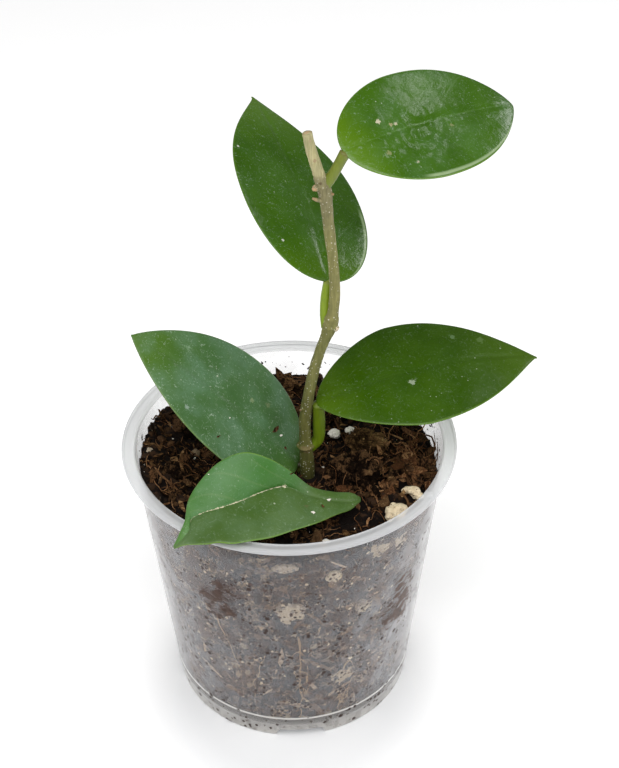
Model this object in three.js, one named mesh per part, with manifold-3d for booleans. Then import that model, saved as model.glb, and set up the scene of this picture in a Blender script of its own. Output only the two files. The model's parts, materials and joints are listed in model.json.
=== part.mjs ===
// A young hoya cutting with five leaves, rooted in a clear plastic nursery pot.
//
// Millimetres, +Z up. Every shape is written in the pot's own frame: the pot stands on z = 0
// round the z axis, +X is to the right of the front view and +Y is away from the viewer. At
// the end the whole group is shifted so that its origin is on the standing plane, under the
// middle of its outline seen from above.
//
// Neighbouring pieces keep a gap of 0.3 mm, and whatever is seated in the potting mix has a
// hollow of its own there.

import * as THREE from "three";
import { mergeVertices } from "three/addons/utils/BufferGeometryUtils.js";
import Module from "manifold-3d";

const wasm = await Module();
wasm.setup();

const GAP = 0.3;
const DEGREE = Math.PI / 180;

// Nursery pot
const POT_HEIGHT = 95;
const RIM_RADIUS = 52.5;
const RIM_INNER_RADIUS = 48.7;
const RIM_THICKNESS = 1.6;
const WALL_THICKNESS = 0.9;
const WALL_TOP_RADIUS = 49.0;
const WALL_BASE_RADIUS = 38.9;
const WALL_TAPER = (WALL_TOP_RADIUS - WALL_BASE_RADIUS) / (POT_HEIGHT - RIM_THICKNESS);
const FOOT_RING_THICKNESS = 1.2;
const FLOOR_TOP = 6;
const FLOOR_THICKNESS = 1;
const POT_SEGMENTS = 48;
const NOTCH_COUNT = 4;
const NOTCH_WIDTH = 16.6;
const NOTCH_HEIGHT = 3;
const NOTCH_ANGLE = -87 * DEGREE;
const DRAIN_COUNT = 6;
const DRAIN_RADIUS = 4;
const DRAIN_CIRCLE = 24;

// Potting mix
const SOIL_LEVEL = 85.2;
const SOIL_EDGE_RISE = 1.6;
const SOIL_EDGE_TILT = 3;
const SOIL_HIGH_SIDE = 200 * DEGREE;
const SOIL_RINGS = 11;
const SOIL_CLEARANCE = 0.3;

// Leaf blades
const BLADE_THICKNESS = 1.3;
const MARGIN_THICKNESS = 0.8;
const BLADE_STEPS = 16;
const BLADE_STRIPS = 6;
const BLADE_BELLY = 0.4;

// A small repeatable random number generator.
function seededRandom(seed) {
  let state = seed >>> 0;
  return () => {
    state = (state + 0x6d2b79f5) >>> 0;
    let t = Math.imul(state ^ (state >>> 15), 1 | state);
    t = (t + Math.imul(t ^ (t >>> 7), 61 | t)) ^ t;
    return ((t ^ (t >>> 14)) >>> 0) / 4294967296;
  };
}

// A geometry from a flat list of positions and a list of triangles.
function geometryFrom(positions, triangles) {
  const geometry = new THREE.BufferGeometry();
  geometry.setAttribute("position", new THREE.Float32BufferAttribute(positions, 3));
  geometry.setIndex(triangles);
  return geometry;
}

// A closed geometry as a solid that can be joined and cut.
function solidOf(geometry) {
  const bare = geometry.clone();
  bare.deleteAttribute("normal");
  bare.deleteAttribute("uv");
  const merged = mergeVertices(bare, 1e-4);
  const mesh = new wasm.Mesh({
    numProp: 3,
    vertProperties: new Float32Array(merged.attributes.position.array),
    triVerts: new Uint32Array(merged.index.array),
  });
  return new wasm.Manifold(mesh);
}

// The surface of a solid as a geometry again.
function geometryOf(solid) {
  const mesh = solid.getMesh();
  return geometryFrom(Array.from(mesh.vertProperties), Array.from(mesh.triVerts));
}

function cut(geometry, tools) {
  let solid = solidOf(geometry);
  for (const tool of tools) {
    solid = solid.subtract(solidOf(tool));
  }
  return geometryOf(solid);
}

function join(pieces) {
  let solid = solidOf(pieces[0]);
  for (const piece of pieces.slice(1)) {
    solid = solid.add(solidOf(piece));
  }
  return geometryOf(solid);
}

// A round rod of changing radius through rings of [x, y, z, radius]. Each ring stands square
// to the path, and `grow` makes the same rod thicker and a little longer all round.
function rod(rings, { sides = 8, fill = 1, grow = 0 } = {}) {
  const points = rings.map(([x, y, z]) => new THREE.Vector3(x, y, z));
  const curve = new THREE.CatmullRomCurve3(points, false, "centripetal");
  const steps = (rings.length - 1) * fill;
  const positions = [];
  const triangles = [];
  let across = null;
  for (let i = 0; i <= steps; i += 1) {
    const t = i / steps;
    const place = t * (rings.length - 1);
    const from = Math.min(Math.floor(place), rings.length - 2);
    const share = place - from;
    const radius = rings[from][3] * (1 - share) + rings[from + 1][3] * share + grow;
    const centre = curve.getPoint(t);
    const tangent = curve.getTangent(t);
    if (across === null) {
      const helper = Math.abs(tangent.x) < 0.7 ? new THREE.Vector3(1, 0, 0) : new THREE.Vector3(0, 1, 0);
      across = helper;
    }
    across = across.clone().addScaledVector(tangent, -across.dot(tangent)).normalize();
    const beside = new THREE.Vector3().crossVectors(tangent, across);
    const push = i === 0 ? -grow : i === steps ? grow : 0;
    centre.addScaledVector(tangent, push);
    for (let j = 0; j < sides; j += 1) {
      const angle = (j / sides) * 2 * Math.PI;
      const point = centre
        .clone()
        .addScaledVector(across, radius * Math.cos(angle))
        .addScaledVector(beside, radius * Math.sin(angle));
      positions.push(point.x, point.y, point.z);
    }
    if (i > 0) {
      for (let j = 0; j < sides; j += 1) {
        const a = (i - 1) * sides + j;
        const b = (i - 1) * sides + ((j + 1) % sides);
        triangles.push(a, b, b + sides, a, b + sides, a + sides);
      }
    }
  }
  for (let j = 1; j < sides - 1; j += 1) {
    const last = steps * sides;
    triangles.push(0, j + 1, j, last, last + j, last + j + 1);
  }
  return geometryFrom(positions, triangles);
}

// Nursery pot: a thin tapered wall with a flat flange, a raised floor and a foot ring.
function makePot() {
  const lipBottom = POT_HEIGHT - RIM_THICKNESS;
  const outerAt = (z) => wallInnerRadius(z) + WALL_THICKNESS;
  const profile = [
    [0, FLOOR_TOP - FLOOR_THICKNESS],
    [outerAt(FLOOR_TOP - FLOOR_THICKNESS) - FOOT_RING_THICKNESS, FLOOR_TOP - FLOOR_THICKNESS],
    [outerAt(0) - FOOT_RING_THICKNESS, 0],
    [outerAt(0), 0],
    [outerAt(FLOOR_TOP), FLOOR_TOP],
    [outerAt(lipBottom), lipBottom],
    [RIM_RADIUS - 0.4, lipBottom],
    [RIM_RADIUS, lipBottom + 0.4],
    [RIM_RADIUS, POT_HEIGHT - 0.4],
    [RIM_RADIUS - 0.4, POT_HEIGHT],
    [RIM_INNER_RADIUS + 0.4, POT_HEIGHT],
    [RIM_INNER_RADIUS, POT_HEIGHT - 0.3],
    [wallInnerRadius(POT_HEIGHT - 1.2), POT_HEIGHT - 1.2],
    [wallInnerRadius(FLOOR_TOP + 1), FLOOR_TOP + 1],
    [wallInnerRadius(FLOOR_TOP) - 0.9, FLOOR_TOP],
    [0, FLOOR_TOP],
  ];
  const shell = new THREE.LatheGeometry(
    profile.map(([r, z]) => new THREE.Vector2(r, z)),
    POT_SEGMENTS,
  );
  shell.rotateX(Math.PI / 2);
  return cut(shell, [...footNotches(), ...drainHoles()]);
}

// Inside radius of the pot wall at height z.
function wallInnerRadius(z) {
  return WALL_BASE_RADIUS + WALL_TAPER * z - WALL_THICKNESS;
}

// Arched openings under the foot ring, one on each side.
function footNotches() {
  const half = NOTCH_WIDTH / 2;
  const outline = new THREE.Shape();
  outline.moveTo(-half, -1);
  outline.lineTo(half, -1);
  outline.lineTo(half, 0);
  outline.lineTo(half - 1.5, NOTCH_HEIGHT);
  outline.lineTo(-half + 1.5, NOTCH_HEIGHT);
  outline.lineTo(-half, 0);
  outline.closePath();
  const notches = [];
  for (let i = 0; i < NOTCH_COUNT; i += 1) {
    const notch = new THREE.ExtrudeGeometry(outline, { depth: 12, bevelEnabled: false });
    notch.rotateX(Math.PI / 2);
    notch.translate(0, 45, 0);
    notch.rotateZ(NOTCH_ANGLE - Math.PI / 2 + (i / NOTCH_COUNT) * 2 * Math.PI);
    notches.push(notch);
  }
  return notches;
}

// Round drainage holes through the floor: a ring of them and one in the middle.
function drainHoles() {
  const holes = [];
  for (let i = 0; i <= DRAIN_COUNT; i += 1) {
    const angle = ((i + 0.5) / DRAIN_COUNT) * 2 * Math.PI;
    const reach = i === DRAIN_COUNT ? 0 : DRAIN_CIRCLE;
    const hole = new THREE.CylinderGeometry(DRAIN_RADIUS, DRAIN_RADIUS, 4, 16);
    hole.rotateX(Math.PI / 2);
    hole.translate(reach * Math.cos(angle), reach * Math.sin(angle), FLOOR_TOP - 0.5);
    holes.push(hole);
  }
  return holes;
}

// Stem: rings from its buried end up to the dry cut stub, thicker at the three leaf nodes.
// Each row is x, y, z and the radius there.
const STEM_RINGS = [
  [5.5, -5.5, 72, 2.1],
  [5.5, -5.5, 79, 2.3],
  [5.5, -5.5, 86, 2.3],
  [5.3, -5.5, 91, 2.2],
  [5.2, -5.5, 95, 2.2],
  [5.1, -5.5, 96.5, 2.6],
  [5.0, -5.5, 98, 2.0],
  [4.9, -5.5, 101, 1.8],
  [5.0, -5.5, 107.5, 1.8],
  [6.0, -5.5, 115.5, 1.7],
  [7.5, -5.5, 124, 1.6],
  [9.3, -5.5, 131.5, 1.6],
  [11.3, -5.5, 137.5, 1.7],
  [12.3, -5.5, 140.5, 2.1],
  [12.9, -5.5, 143, 2.2],
  [13.4, -5.5, 146, 1.7],
  [13.9, -5.5, 153.5, 1.6],
  [13.7, -5.5, 159.5, 1.5],
  [13.2, -5.5, 166, 1.5],
  [12.7, -5.5, 170.5, 1.6],
  [12.1, -5.5, 176.5, 1.6],
  [11.5, -5.5, 182.5, 1.8],
  [10.9, -5.5, 187.5, 2.0],
  [10.3, -5.5, 190, 2.1],
  [9.6, -5.5, 192, 1.8],
  [8.4, -5.5, 196, 1.6],
  [7.2, -5.5, 200.5, 1.5],
  [6.3, -5.5, 205.2, 1.4],
];

// Short dry stubs of air roots and the scar of a dropped leaf.
const STEM_STUBS = [
  [[10.6, -6, 184.5, 0.7], [9.0, -7.2, 185.2, 0.6], [7.6, -7.6, 186, 0.3]],
  [[11.6, -5.5, 186, 0.5], [13.5, -6.2, 186.4, 0.3]],
  [[9.6, -6, 189.2, 1.0], [8.3, -7, 188.8, 0.9], [7.7, -7.4, 188.6, 0.5]],
  [[12.6, -6, 142.5, 1.2], [14.2, -7.2, 141.8, 1.1], [14.8, -7.6, 141.6, 0.8]],
  [[5.2, -6, 111, 0.5], [3.2, -7.4, 111.6, 0.3]],
];

function makeStem(grow = 0) {
  const stem = rod(STEM_RINGS, { sides: 10, grow });
  if (grow > 0) {
    return stem;
  }
  return join([stem, ...STEM_STUBS.map((rings) => rod(rings, { sides: 6 }))]);
}

// Leaf outline: half of the width at a share t of the length, from a round base to a point.
// shoulder says how full the base is and point how drawn out the tip is.
function halfWidthShare(t, shoulder, point) {
  if (t < BLADE_BELLY) {
    return (1 - (1 - t / BLADE_BELLY) ** shoulder) ** (1 / shoulder);
  }
  const u = (t - BLADE_BELLY) / (1 - BLADE_BELLY);
  return Math.max(0, 1 - u ** 2.2) ** point;
}

// The middle surface of a leaf: rows of points from the left margin to the right one.
// heading is the compass direction of the midrib seen from above, rise its climb at the base,
// roll its lean to one side, arch how far it bends down towards the tip, twist how far the
// tip is turned.
function leafRows(leaf, grow = 0) {
  const heading = leaf.heading * DEGREE;
  const rise = leaf.rise * DEGREE;
  const roll = leaf.roll * DEGREE;
  const arch = leaf.arch * DEGREE;
  const along = new THREE.Vector3(
    Math.cos(heading) * Math.cos(rise),
    Math.sin(heading) * Math.cos(rise),
    Math.sin(rise),
  );
  const upright = new THREE.Vector3(
    -Math.cos(heading) * Math.sin(rise),
    -Math.sin(heading) * Math.sin(rise),
    Math.cos(rise),
  );
  const level = new THREE.Vector3().crossVectors(upright, along);
  const up = upright.clone().multiplyScalar(Math.cos(roll)).addScaledVector(level, Math.sin(roll));
  const side = new THREE.Vector3().crossVectors(up, along);
  const rows = [];
  for (let i = 0; i <= BLADE_STEPS; i += 1) {
    const even = (1 - Math.cos((i / BLADE_STEPS) * Math.PI)) / 2;
    const t = 0.35 * (i / BLADE_STEPS) + 0.65 * even;
    const reach = t * leaf.length + (i === 0 ? -grow : i === BLADE_STEPS ? grow : 0);
    const bend = (arch * reach) / leaf.length;
    const centre = new THREE.Vector3(...leaf.base)
      .addScaledVector(along, (leaf.length * Math.sin(bend)) / arch)
      .addScaledVector(up, (-leaf.length * (1 - Math.cos(bend))) / arch);
    const normal = up.clone().multiplyScalar(Math.cos(bend)).addScaledVector(along, Math.sin(bend));
    const turn = leaf.twist * DEGREE * t;
    const rib = side.clone().multiplyScalar(Math.cos(turn)).addScaledVector(normal, Math.sin(turn));
    const top = normal.clone().multiplyScalar(Math.cos(turn)).addScaledVector(side, -Math.sin(turn));
    const least = t < 0.5 ? 0.9 : 0.4;
    const share = halfWidthShare(t, leaf.shoulder, leaf.point);
    const halfWidth = Math.max((leaf.width / 2) * share, least) + grow;
    const row = [];
    for (let j = 0; j <= BLADE_STRIPS; j += 1) {
      const v = (j / BLADE_STRIPS) * 2 - 1;
      const out = Math.sign(v) * Math.abs(v) ** 0.85 * halfWidth;
      const sag = (leaf.cup * out * out) / (leaf.width / 2);
      row.push(centre.clone().addScaledVector(rib, out).addScaledVector(top, -sag));
    }
    rows.push(row);
  }
  return rows;
}

// The bent leaf at the front: one line of points along its fold and one along each margin.
const BENT_LEAF = {
  fold: [
    [21.5, -22, 88], [18, -25, 89.5], [12.5, -27, 91.5], [5.5, -28.5, 94], [-1.5, -28, 97],
    [-8.5, -31, 99], [-15, -35.5, 100], [-21.5, -38.5, 100], [-26, -40, 99.5], [-29, -42, 99],
    [-29.5, -45.5, 98], [-31.5, -48, 96.5], [-34, -49.5, 95],
  ],
  front: [
    [21.5, -22, 88], [18.5, -27.5, 89], [14, -32, 91], [7.5, -38, 93], [1, -43, 95],
    [-5.5, -47, 96], [-12, -49.5, 97], [-17, -51, 97.5], [-21, -51, 98], [-24, -51, 97.5],
    [-27, -51, 97.5], [-30.5, -50, 96.5], [-34, -49.5, 95],
  ],
  rear: [
    [21.5, -22, 88], [19, -21.5, 90], [13, -23.5, 92.5], [6.5, -25, 96], [0.5, -26, 103],
    [-6.5, -26.5, 109], [-13.5, -25.5, 110.5], [-21, -27, 108], [-27, -31.5, 104], [-30, -36.5, 101.5],
    [-31, -43, 99], [-32.5, -46, 97], [-34, -49.5, 95],
  ],
};

function bentLeafRows() {
  const lines = {};
  for (const name of ["fold", "front", "rear"]) {
    const points = BENT_LEAF[name].map((p) => new THREE.Vector3(...p));
    lines[name] = new THREE.CatmullRomCurve3(points, false, "centripetal");
  }
  const rows = [];
  const half = BLADE_STRIPS / 2;
  for (let i = 0; i <= BLADE_STEPS + 4; i += 1) {
    const t = i / (BLADE_STEPS + 4);
    const fold = lines.fold.getPoint(t);
    const row = [];
    for (let j = 0; j <= BLADE_STRIPS; j += 1) {
      const margin = j < half ? lines.rear.getPoint(t) : lines.front.getPoint(t);
      const share = Math.abs(j - half) / half;
      const outward = (j < half ? -1 : 1) * share;
      const point = fold.clone().lerp(margin, share);
      if (i === 0) {
        point.y -= 0.9 * outward;
      }
      if (i === BLADE_STEPS + 4) {
        point.x += 0.2 * outward;
        point.y -= 0.45 * outward;
      }
      row.push(point);
    }
    rows.push(row);
  }
  return rows;
}

// A leaf blade of real thickness over the rows of its middle surface. Both faces have the
// same triangles, and the margin is thinner than the middle.
function bladeFrom(rows, grow = 0) {
  const steps = rows.length - 1;
  const strips = rows[0].length - 1;
  const width = strips + 1;
  const upper = [];
  const lower = [];
  for (let i = 0; i <= steps; i += 1) {
    for (let j = 0; j <= strips; j += 1) {
      const here = rows[i][j];
      const alongLeaf = rows[Math.min(i + 1, steps)][j].clone().sub(rows[Math.max(i - 1, 0)][j]);
      const acrossLeaf = rows[i][Math.min(j + 1, strips)].clone().sub(rows[i][Math.max(j - 1, 0)]);
      const normal = new THREE.Vector3().crossVectors(alongLeaf, acrossLeaf).normalize();
      const v = Math.abs((j / strips) * 2 - 1);
      const end = Math.min(1, Math.min(i, steps - i) / 3);
      const thickness = MARGIN_THICKNESS + (BLADE_THICKNESS - MARGIN_THICKNESS) * (1 - v * v) * end;
      const offset = thickness / 2 + grow;
      upper.push(here.clone().addScaledVector(normal, offset));
      lower.push(here.clone().addScaledVector(normal, -offset));
    }
  }
  const positions = [...upper, ...lower].flatMap((p) => [p.x, p.y, p.z]);
  const under = upper.length;
  const triangles = [];
  const quad = (a, b, c, d) => triangles.push(a, b, c, a, c, d);
  for (let i = 0; i < steps; i += 1) {
    for (let j = 0; j < strips; j += 1) {
      const a = i * width + j;
      const b = a + width;
      quad(a, b, b + 1, a + 1);
      triangles.push(under + a, under + b + 1, under + b, under + a, under + a + 1, under + b + 1);
    }
    const left = i * width;
    const right = left + strips;
    quad(left, under + left, under + left + width, left + width);
    quad(right, right + width, under + right + width, under + right);
  }
  for (let j = 0; j < strips; j += 1) {
    const tip = steps * width + j;
    quad(j, j + 1, under + j + 1, under + j);
    quad(tip, under + tip, under + tip + 1, tip + 1);
  }
  return geometryFrom(positions, triangles);
}

const LEAVES = {
  top: {
    base: [16, -5, 199], heading: 30, rise: 6, roll: -25, length: 63.5, width: 36,
    arch: 25, twist: 9, cup: 0.01, shoulder: 1.9, point: 0.8,
  },
  upper: {
    base: [12, -2, 154.5], heading: 102, rise: 29, roll: -27, length: 77, width: 43.6,
    arch: 23, twist: 1, cup: 0.01, shoulder: 2.1, point: 1.25,
  },
  right: {
    base: [8.5, -6, 112.8], heading: 14, rise: 19, roll: -9, length: 74.5, width: 42.5,
    arch: 38, twist: 1, cup: 0.06, shoulder: 1.5, point: 1.2,
  },
  left: {
    base: [2.9, -3, 86.6], heading: 182, rise: 56, roll: 25, length: 69.5, width: 39.5,
    arch: 27, twist: 4, cup: 0, shoulder: 2, point: 0.93,
  },
};

// Leaf stalks, from the stem to the base of each blade.
const STALKS = {
  top: [[11, -5.5, 189, 1.8], [13, -5.5, 191.8, 1.6], [14.8, -5.4, 195.2, 1.5], [16.6, -5, 198.6, 1.6]],
  upper: [[12, -4.5, 140.5, 1.7], [11, -2.8, 144.5, 1.6], [10.9, -2.1, 150, 1.6], [11.9, -1.6, 154.6, 1.5]],
  right: [[6.5, -5, 95, 1.7], [8.8, -4.8, 98, 1.8], [9.2, -4.9, 104, 1.9], [9, -5.6, 112.6, 1.8]],
  left: [[5.5, -5.2, 81, 1.6], [4.0, -3.6, 83.5, 1.5], [3.2, -2.8, 85.5, 1.4], [2.9, -2.9, 87, 1.4]],
  front: [[7, -7, 74, 1.6], [12, -12, 76, 1.6], [17, -19, 81, 1.5], [18.6, -23, 89, 1.4]],
};

function makeStalk(name, blade) {
  return cut(rod(STALKS[name], { sides: 8, fill: 2 }), [makeStem(GAP), blade]);
}

// Roots: a swollen foot under the stem and tubes that run out and down to the pot wall.
const ROOT_START = [5.5, -5.5, 66, 1.2];
const ROOT_PATHS = [
  [[4.6, -22, 60, 1.1], [4.3, -36, 53, 1.0], [4.2, -40, 40, 0.9], [4, -37, 10, 0.8]],
  [[-8, -14, 58, 1.1], [-22, -24, 50, 1.0], [-28, -27.5, 34, 0.8], [-27, -24, 14, 0.7]],
  [[-10, 4, 60, 1.1], [-26, 12, 52, 1.0], [-38, 10, 38, 0.8]],
  [[2, 12, 56, 1.1], [-4, 28, 44, 1.0], [-2, 36, 24, 0.8]],
  [[18, 8, 58, 1.1], [30, 16, 46, 1.0], [30, 20, 26, 0.8]],
  [[20, -14, 60, 1.1], [32, -20, 48, 1.0], [34, -19, 30, 0.8]],
  [[7, -6, 50, 1.1], [12, -10, 32, 1.0], [10, -14, 12, 0.8]],
];
const ROOT_FOOT = [
  [5.5, -5.5, 71.6, 2.1],
  [5.5, -5.5, 70, 2.8],
  [5.5, -5.5, 67, 2.8],
  [5.5, -5.5, 64, 1.6],
];

function makeRoots(grow = 0) {
  const foot = rod(ROOT_FOOT, { sides: 10, grow });
  const tubes = ROOT_PATHS.map((rings) => rod([ROOT_START, ...rings], { sides: 6, fill: 2, grow }));
  return join([foot, ...tubes]);
}

// An irregular rounded lump: a subdivided icosahedron with its corners pushed in and out.
function lump([rx, ry, rz], seed, detail, roughness) {
  const random = seededRandom(seed);
  const ball = mergeVertices(bareGeometry(new THREE.IcosahedronGeometry(1, detail)), 1e-4);
  const position = ball.attributes.position;
  for (let i = 0; i < position.count; i += 1) {
    const push = 1 + (random() - 0.5) * roughness;
    position.setXYZ(
      i,
      position.getX(i) * push * rx,
      position.getY(i) * push * ry,
      position.getZ(i) * push * rz,
    );
  }
  return ball;
}

function bareGeometry(geometry) {
  geometry.deleteAttribute("normal");
  geometry.deleteAttribute("uv");
  return geometry;
}

// A splinter of bark: a long block with uneven corners.
function splinter([length, width, height], seed) {
  const random = seededRandom(seed);
  const box = new THREE.BoxGeometry(length, width, height, 3, 1, 1);
  const block = mergeVertices(bareGeometry(box), 1e-4);
  const position = block.attributes.position;
  for (let i = 0; i < position.count; i += 1) {
    const taper = 1 - 0.5 * Math.abs(position.getX(i) / length);
    position.setXYZ(
      i,
      position.getX(i) + (random() - 0.5) * 0.12 * length,
      position.getY(i) * taper + (random() - 0.5) * 0.2 * width,
      position.getZ(i) * taper + (random() - 0.5) * 0.2 * height,
    );
  }
  return block;
}

// Lumps of peat, half sunk in the top of the potting mix.
const PEAT_LUMPS = [
  { name: "peat_lump_large", at: [20, -8, 86], size: [9.5, 7.5, 7], turn: 20, seed: 11 },
  { name: "peat_lump_brown", at: [25, 7.5, 86], size: [7.5, 5, 3.8], turn: -15, seed: 12 },
  { name: "peat_lump_back", at: [-1, 36, 86], size: [6.5, 5, 4.2], turn: 10, seed: 13 },
  { name: "peat_lump_left", at: [-36, -8, 86.5], size: [6, 7, 4], turn: 30, seed: 14 },
];
// Splinters of bark.
const BARK_CHIPS = [
  { name: "bark_chip_right", at: [37.5, -6, 86], size: [15, 4.5, 4], turn: -75, seed: 21 },
  { name: "bark_chip_inner", at: [31.2, -16, 84.4], size: [9, 3.2, 3], turn: -68, seed: 22 },
  { name: "bark_chip_back", at: [15, 29, 85], size: [14, 4, 4], turn: 15, seed: 23 },
  { name: "bark_chip_left", at: [-24, 22, 85.5], size: [14, 4, 4], turn: 125, seed: 24 },
];
// Pumice and perlite on top, and grains that are pressed against the front wall.
const PALE_GRAINS = [
  { name: "pumice_front", at: [32, -25.5, 85.5], size: [4, 3.2, 3], turn: 20, seed: 31 },
  { name: "pumice_side", at: [38.2, -17.2, 86], size: [4.2, 1.9, 1.9], turn: -35, seed: 32 },
  { name: "pumice_left", at: [-44, 1.5, 88.5], size: [1.9, 1.7, 1.7], turn: 0, seed: 33 },
  { name: "perlite_1", at: [14.5, 12.5, 86], size: [2.1, 1.8, 1.7], turn: 0, seed: 34 },
  { name: "perlite_2", at: [19.5, 14.5, 85.6], size: [1.9, 1.4, 1.3], turn: 30, seed: 35 },
  { name: "perlite_3", at: [10.5, -38.5, 85.4], size: [1.7, 1.3, 1.3], turn: 0, seed: 36 },
  { name: "perlite_4", at: [-30, 4, 86], size: [1.5, 1.5, 1.3], turn: 0, seed: 37 },
  { name: "perlite_5", at: [-12, 30, 85.8], size: [1.6, 1.5, 1.4], turn: 0, seed: 38 },
  { name: "pumice_wall_1", at: [-0.8, -42.5, 61.4], size: [5, 1.4, 4.2], turn: 0, seed: 41 },
  { name: "pumice_wall_2", at: [12.7, -42.2, 75.4], size: [3, 1.3, 2.4], turn: 17, seed: 42 },
  { name: "pumice_wall_3", at: [21.6, -36.3, 57.1], size: [2.8, 1.3, 2.8], turn: 31, seed: 43 },
  { name: "pumice_wall_4", at: [-2.2, -44.9, 81.5], size: [4.6, 1.3, 1.8], turn: -3, seed: 44 },
];
const INCLUSIONS = [
  ...PEAT_LUMPS.map((piece) => ({ ...piece, kind: "lump" })),
  ...BARK_CHIPS.map((piece) => ({ ...piece, kind: "chip" })),
  ...PALE_GRAINS.map((piece) => ({ ...piece, kind: "grain" })),
];

function inclusionGeometry({ kind, size, seed }, grow = 0) {
  const grown = size.map((value) => value + (kind === "chip" ? 3.6 : 1.35) * grow);
  if (kind === "chip") {
    return splinter(grown, seed);
  }
  return lump(grown, seed, kind === "lump" ? 2 : 1, kind === "lump" ? 0.16 : 0.2);
}

// Height of the potting mix at a point: a bed with seeded hummocks that climbs towards the
// wall, most of all on one side, and stays low under the foot of the bent leaf.
const HUMMOCKS = (() => {
  const random = seededRandom(5);
  return Array.from({ length: 42 }, () => ({
    x: (random() * 2 - 1) * 46,
    y: (random() * 2 - 1) * 46,
    height: (random() - 0.45) * 3.2,
    spread: 3.5 + random() * 4,
  }));
})();

function soilHeight(x, y) {
  const r = Math.hypot(x, y);
  const towardsHigh = Math.cos(Math.atan2(y, x) - SOIL_HIGH_SIDE);
  const nearWall = THREE.MathUtils.smoothstep(r, 24, 47);
  let height = SOIL_LEVEL + nearWall * (SOIL_EDGE_RISE + SOIL_EDGE_TILT * towardsHigh);
  for (const hummock of HUMMOCKS) {
    const distance = Math.hypot(x - hummock.x, y - hummock.y) / hummock.spread;
    height += hummock.height * Math.exp(-distance * distance);
  }
  const underLeaf = 1 - THREE.MathUtils.smoothstep(Math.hypot(x - 18, y + 25), 7, 14);
  return Math.min(height, 91 - 5.2 * underLeaf);
}

function makeSoil(tools) {
  const bottom = FLOOR_TOP + SOIL_CLEARANCE;
  const positions = [];
  const triangles = [];
  const ring = (radiusAt, heightAt) => {
    for (let j = 0; j < POT_SEGMENTS; j += 1) {
      const angle = (j / POT_SEGMENTS) * 2 * Math.PI;
      const r = radiusAt(angle);
      const x = r * Math.cos(angle);
      const y = r * Math.sin(angle);
      positions.push(x, y, heightAt(x, y));
    }
  };
  const foot = wallInnerRadius(bottom + 1) - SOIL_CLEARANCE - 0.05;
  positions.push(0, 0, bottom);
  ring(() => foot - 1.2, () => bottom);
  ring(() => foot, () => bottom + 1);
  const mid = 45;
  ring(() => wallInnerRadius(mid) - SOIL_CLEARANCE - 0.05, () => mid);
  for (let i = 0; i < SOIL_RINGS; i += 1) {
    const share = 1 - i / SOIL_RINGS;
    ring(
      (angle) => {
        const outer = wallInnerRadius(84) - SOIL_CLEARANCE - 0.05;
        const lift = soilHeight(outer * Math.cos(angle), outer * Math.sin(angle)) - 84;
        return (outer + WALL_TAPER * Math.min(0, lift)) * share;
      },
      soilHeight,
    );
  }
  positions.push(0, 0, soilHeight(0, 0));
  const rings = 3 + SOIL_RINGS;
  const last = positions.length / 3 - 1;
  for (let j = 0; j < POT_SEGMENTS; j += 1) {
    const next = (j + 1) % POT_SEGMENTS;
    triangles.push(0, 1 + next, 1 + j);
    for (let i = 0; i < rings - 1; i += 1) {
      const a = 1 + i * POT_SEGMENTS + j;
      const b = 1 + i * POT_SEGMENTS + next;
      triangles.push(a, b, b + POT_SEGMENTS, a, b + POT_SEGMENTS, a + POT_SEGMENTS);
    }
    triangles.push(1 + (rings - 1) * POT_SEGMENTS + j, 1 + (rings - 1) * POT_SEGMENTS + next, last);
  }
  return cut(geometryFrom(positions, triangles), tools);
}

const MATERIALS = {
  pot: new THREE.MeshStandardMaterial({
    color: 0xc9cdd2, roughness: 0.3, metalness: 0, transparent: true, opacity: 0.35,
  }),
  soil: new THREE.MeshStandardMaterial({ color: 0x2b1a10, roughness: 0.95, metalness: 0 }),
  peat: new THREE.MeshStandardMaterial({ color: 0x3a2416, roughness: 0.95, metalness: 0 }),
  bark: new THREE.MeshStandardMaterial({ color: 0x4a2a18, roughness: 0.85, metalness: 0 }),
  grain: new THREE.MeshStandardMaterial({ color: 0xd9c6a0, roughness: 0.8, metalness: 0 }),
  root: new THREE.MeshStandardMaterial({ color: 0x9a7650, roughness: 0.8, metalness: 0 }),
  stem: new THREE.MeshStandardMaterial({ color: 0x7b7148, roughness: 0.7, metalness: 0 }),
  stalk: new THREE.MeshStandardMaterial({ color: 0x6f9423, roughness: 0.45, metalness: 0 }),
  leaf: new THREE.MeshStandardMaterial({ color: 0x2e6b1e, roughness: 0.35, metalness: 0 }),
};

function named(name, geometry, material) {
  const mesh = new THREE.Mesh(geometry, MATERIALS[material]);
  mesh.name = name;
  return mesh;
}

function makePlant() {
  const plant = new THREE.Group();
  plant.add(named("pot", makePot(), "pot"));
  plant.add(named("stem", makeStem(), "stem"));
  plant.add(named("roots", makeRoots(), "root"));
  for (const [name, leaf] of Object.entries(LEAVES)) {
    const blade = bladeFrom(leafRows(leaf));
    plant.add(named(`leaf_${name}`, blade, "leaf"));
    plant.add(named(`stalk_${name}`, makeStalk(name, bladeFrom(leafRows(leaf, GAP), GAP)), "stalk"));
  }
  plant.add(named("leaf_front", bladeFrom(bentLeafRows()), "leaf"));
  plant.add(named("stalk_front", makeStalk("front", bladeFrom(bentLeafRows(), GAP)), "stalk"));

  const hollows = [makeStem(GAP), makeRoots(GAP)];
  for (const name of ["left", "front"]) {
    hollows.push(rod(STALKS[name], { sides: 8, fill: 2, grow: GAP }));
  }
  for (const inclusion of INCLUSIONS) {
    const material = { lump: "peat", chip: "bark", grain: "grain" }[inclusion.kind];
    const piece = named(inclusion.name, inclusionGeometry(inclusion), material);
    piece.position.set(...inclusion.at);
    piece.rotation.z = inclusion.turn * DEGREE;
    piece.updateMatrix();
    plant.add(piece);
    hollows.push(inclusionGeometry(inclusion, GAP).applyMatrix4(piece.matrix));
  }
  plant.add(named("potting_mix", makeSoil(hollows), "soil"));
  return plant;
}

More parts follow.
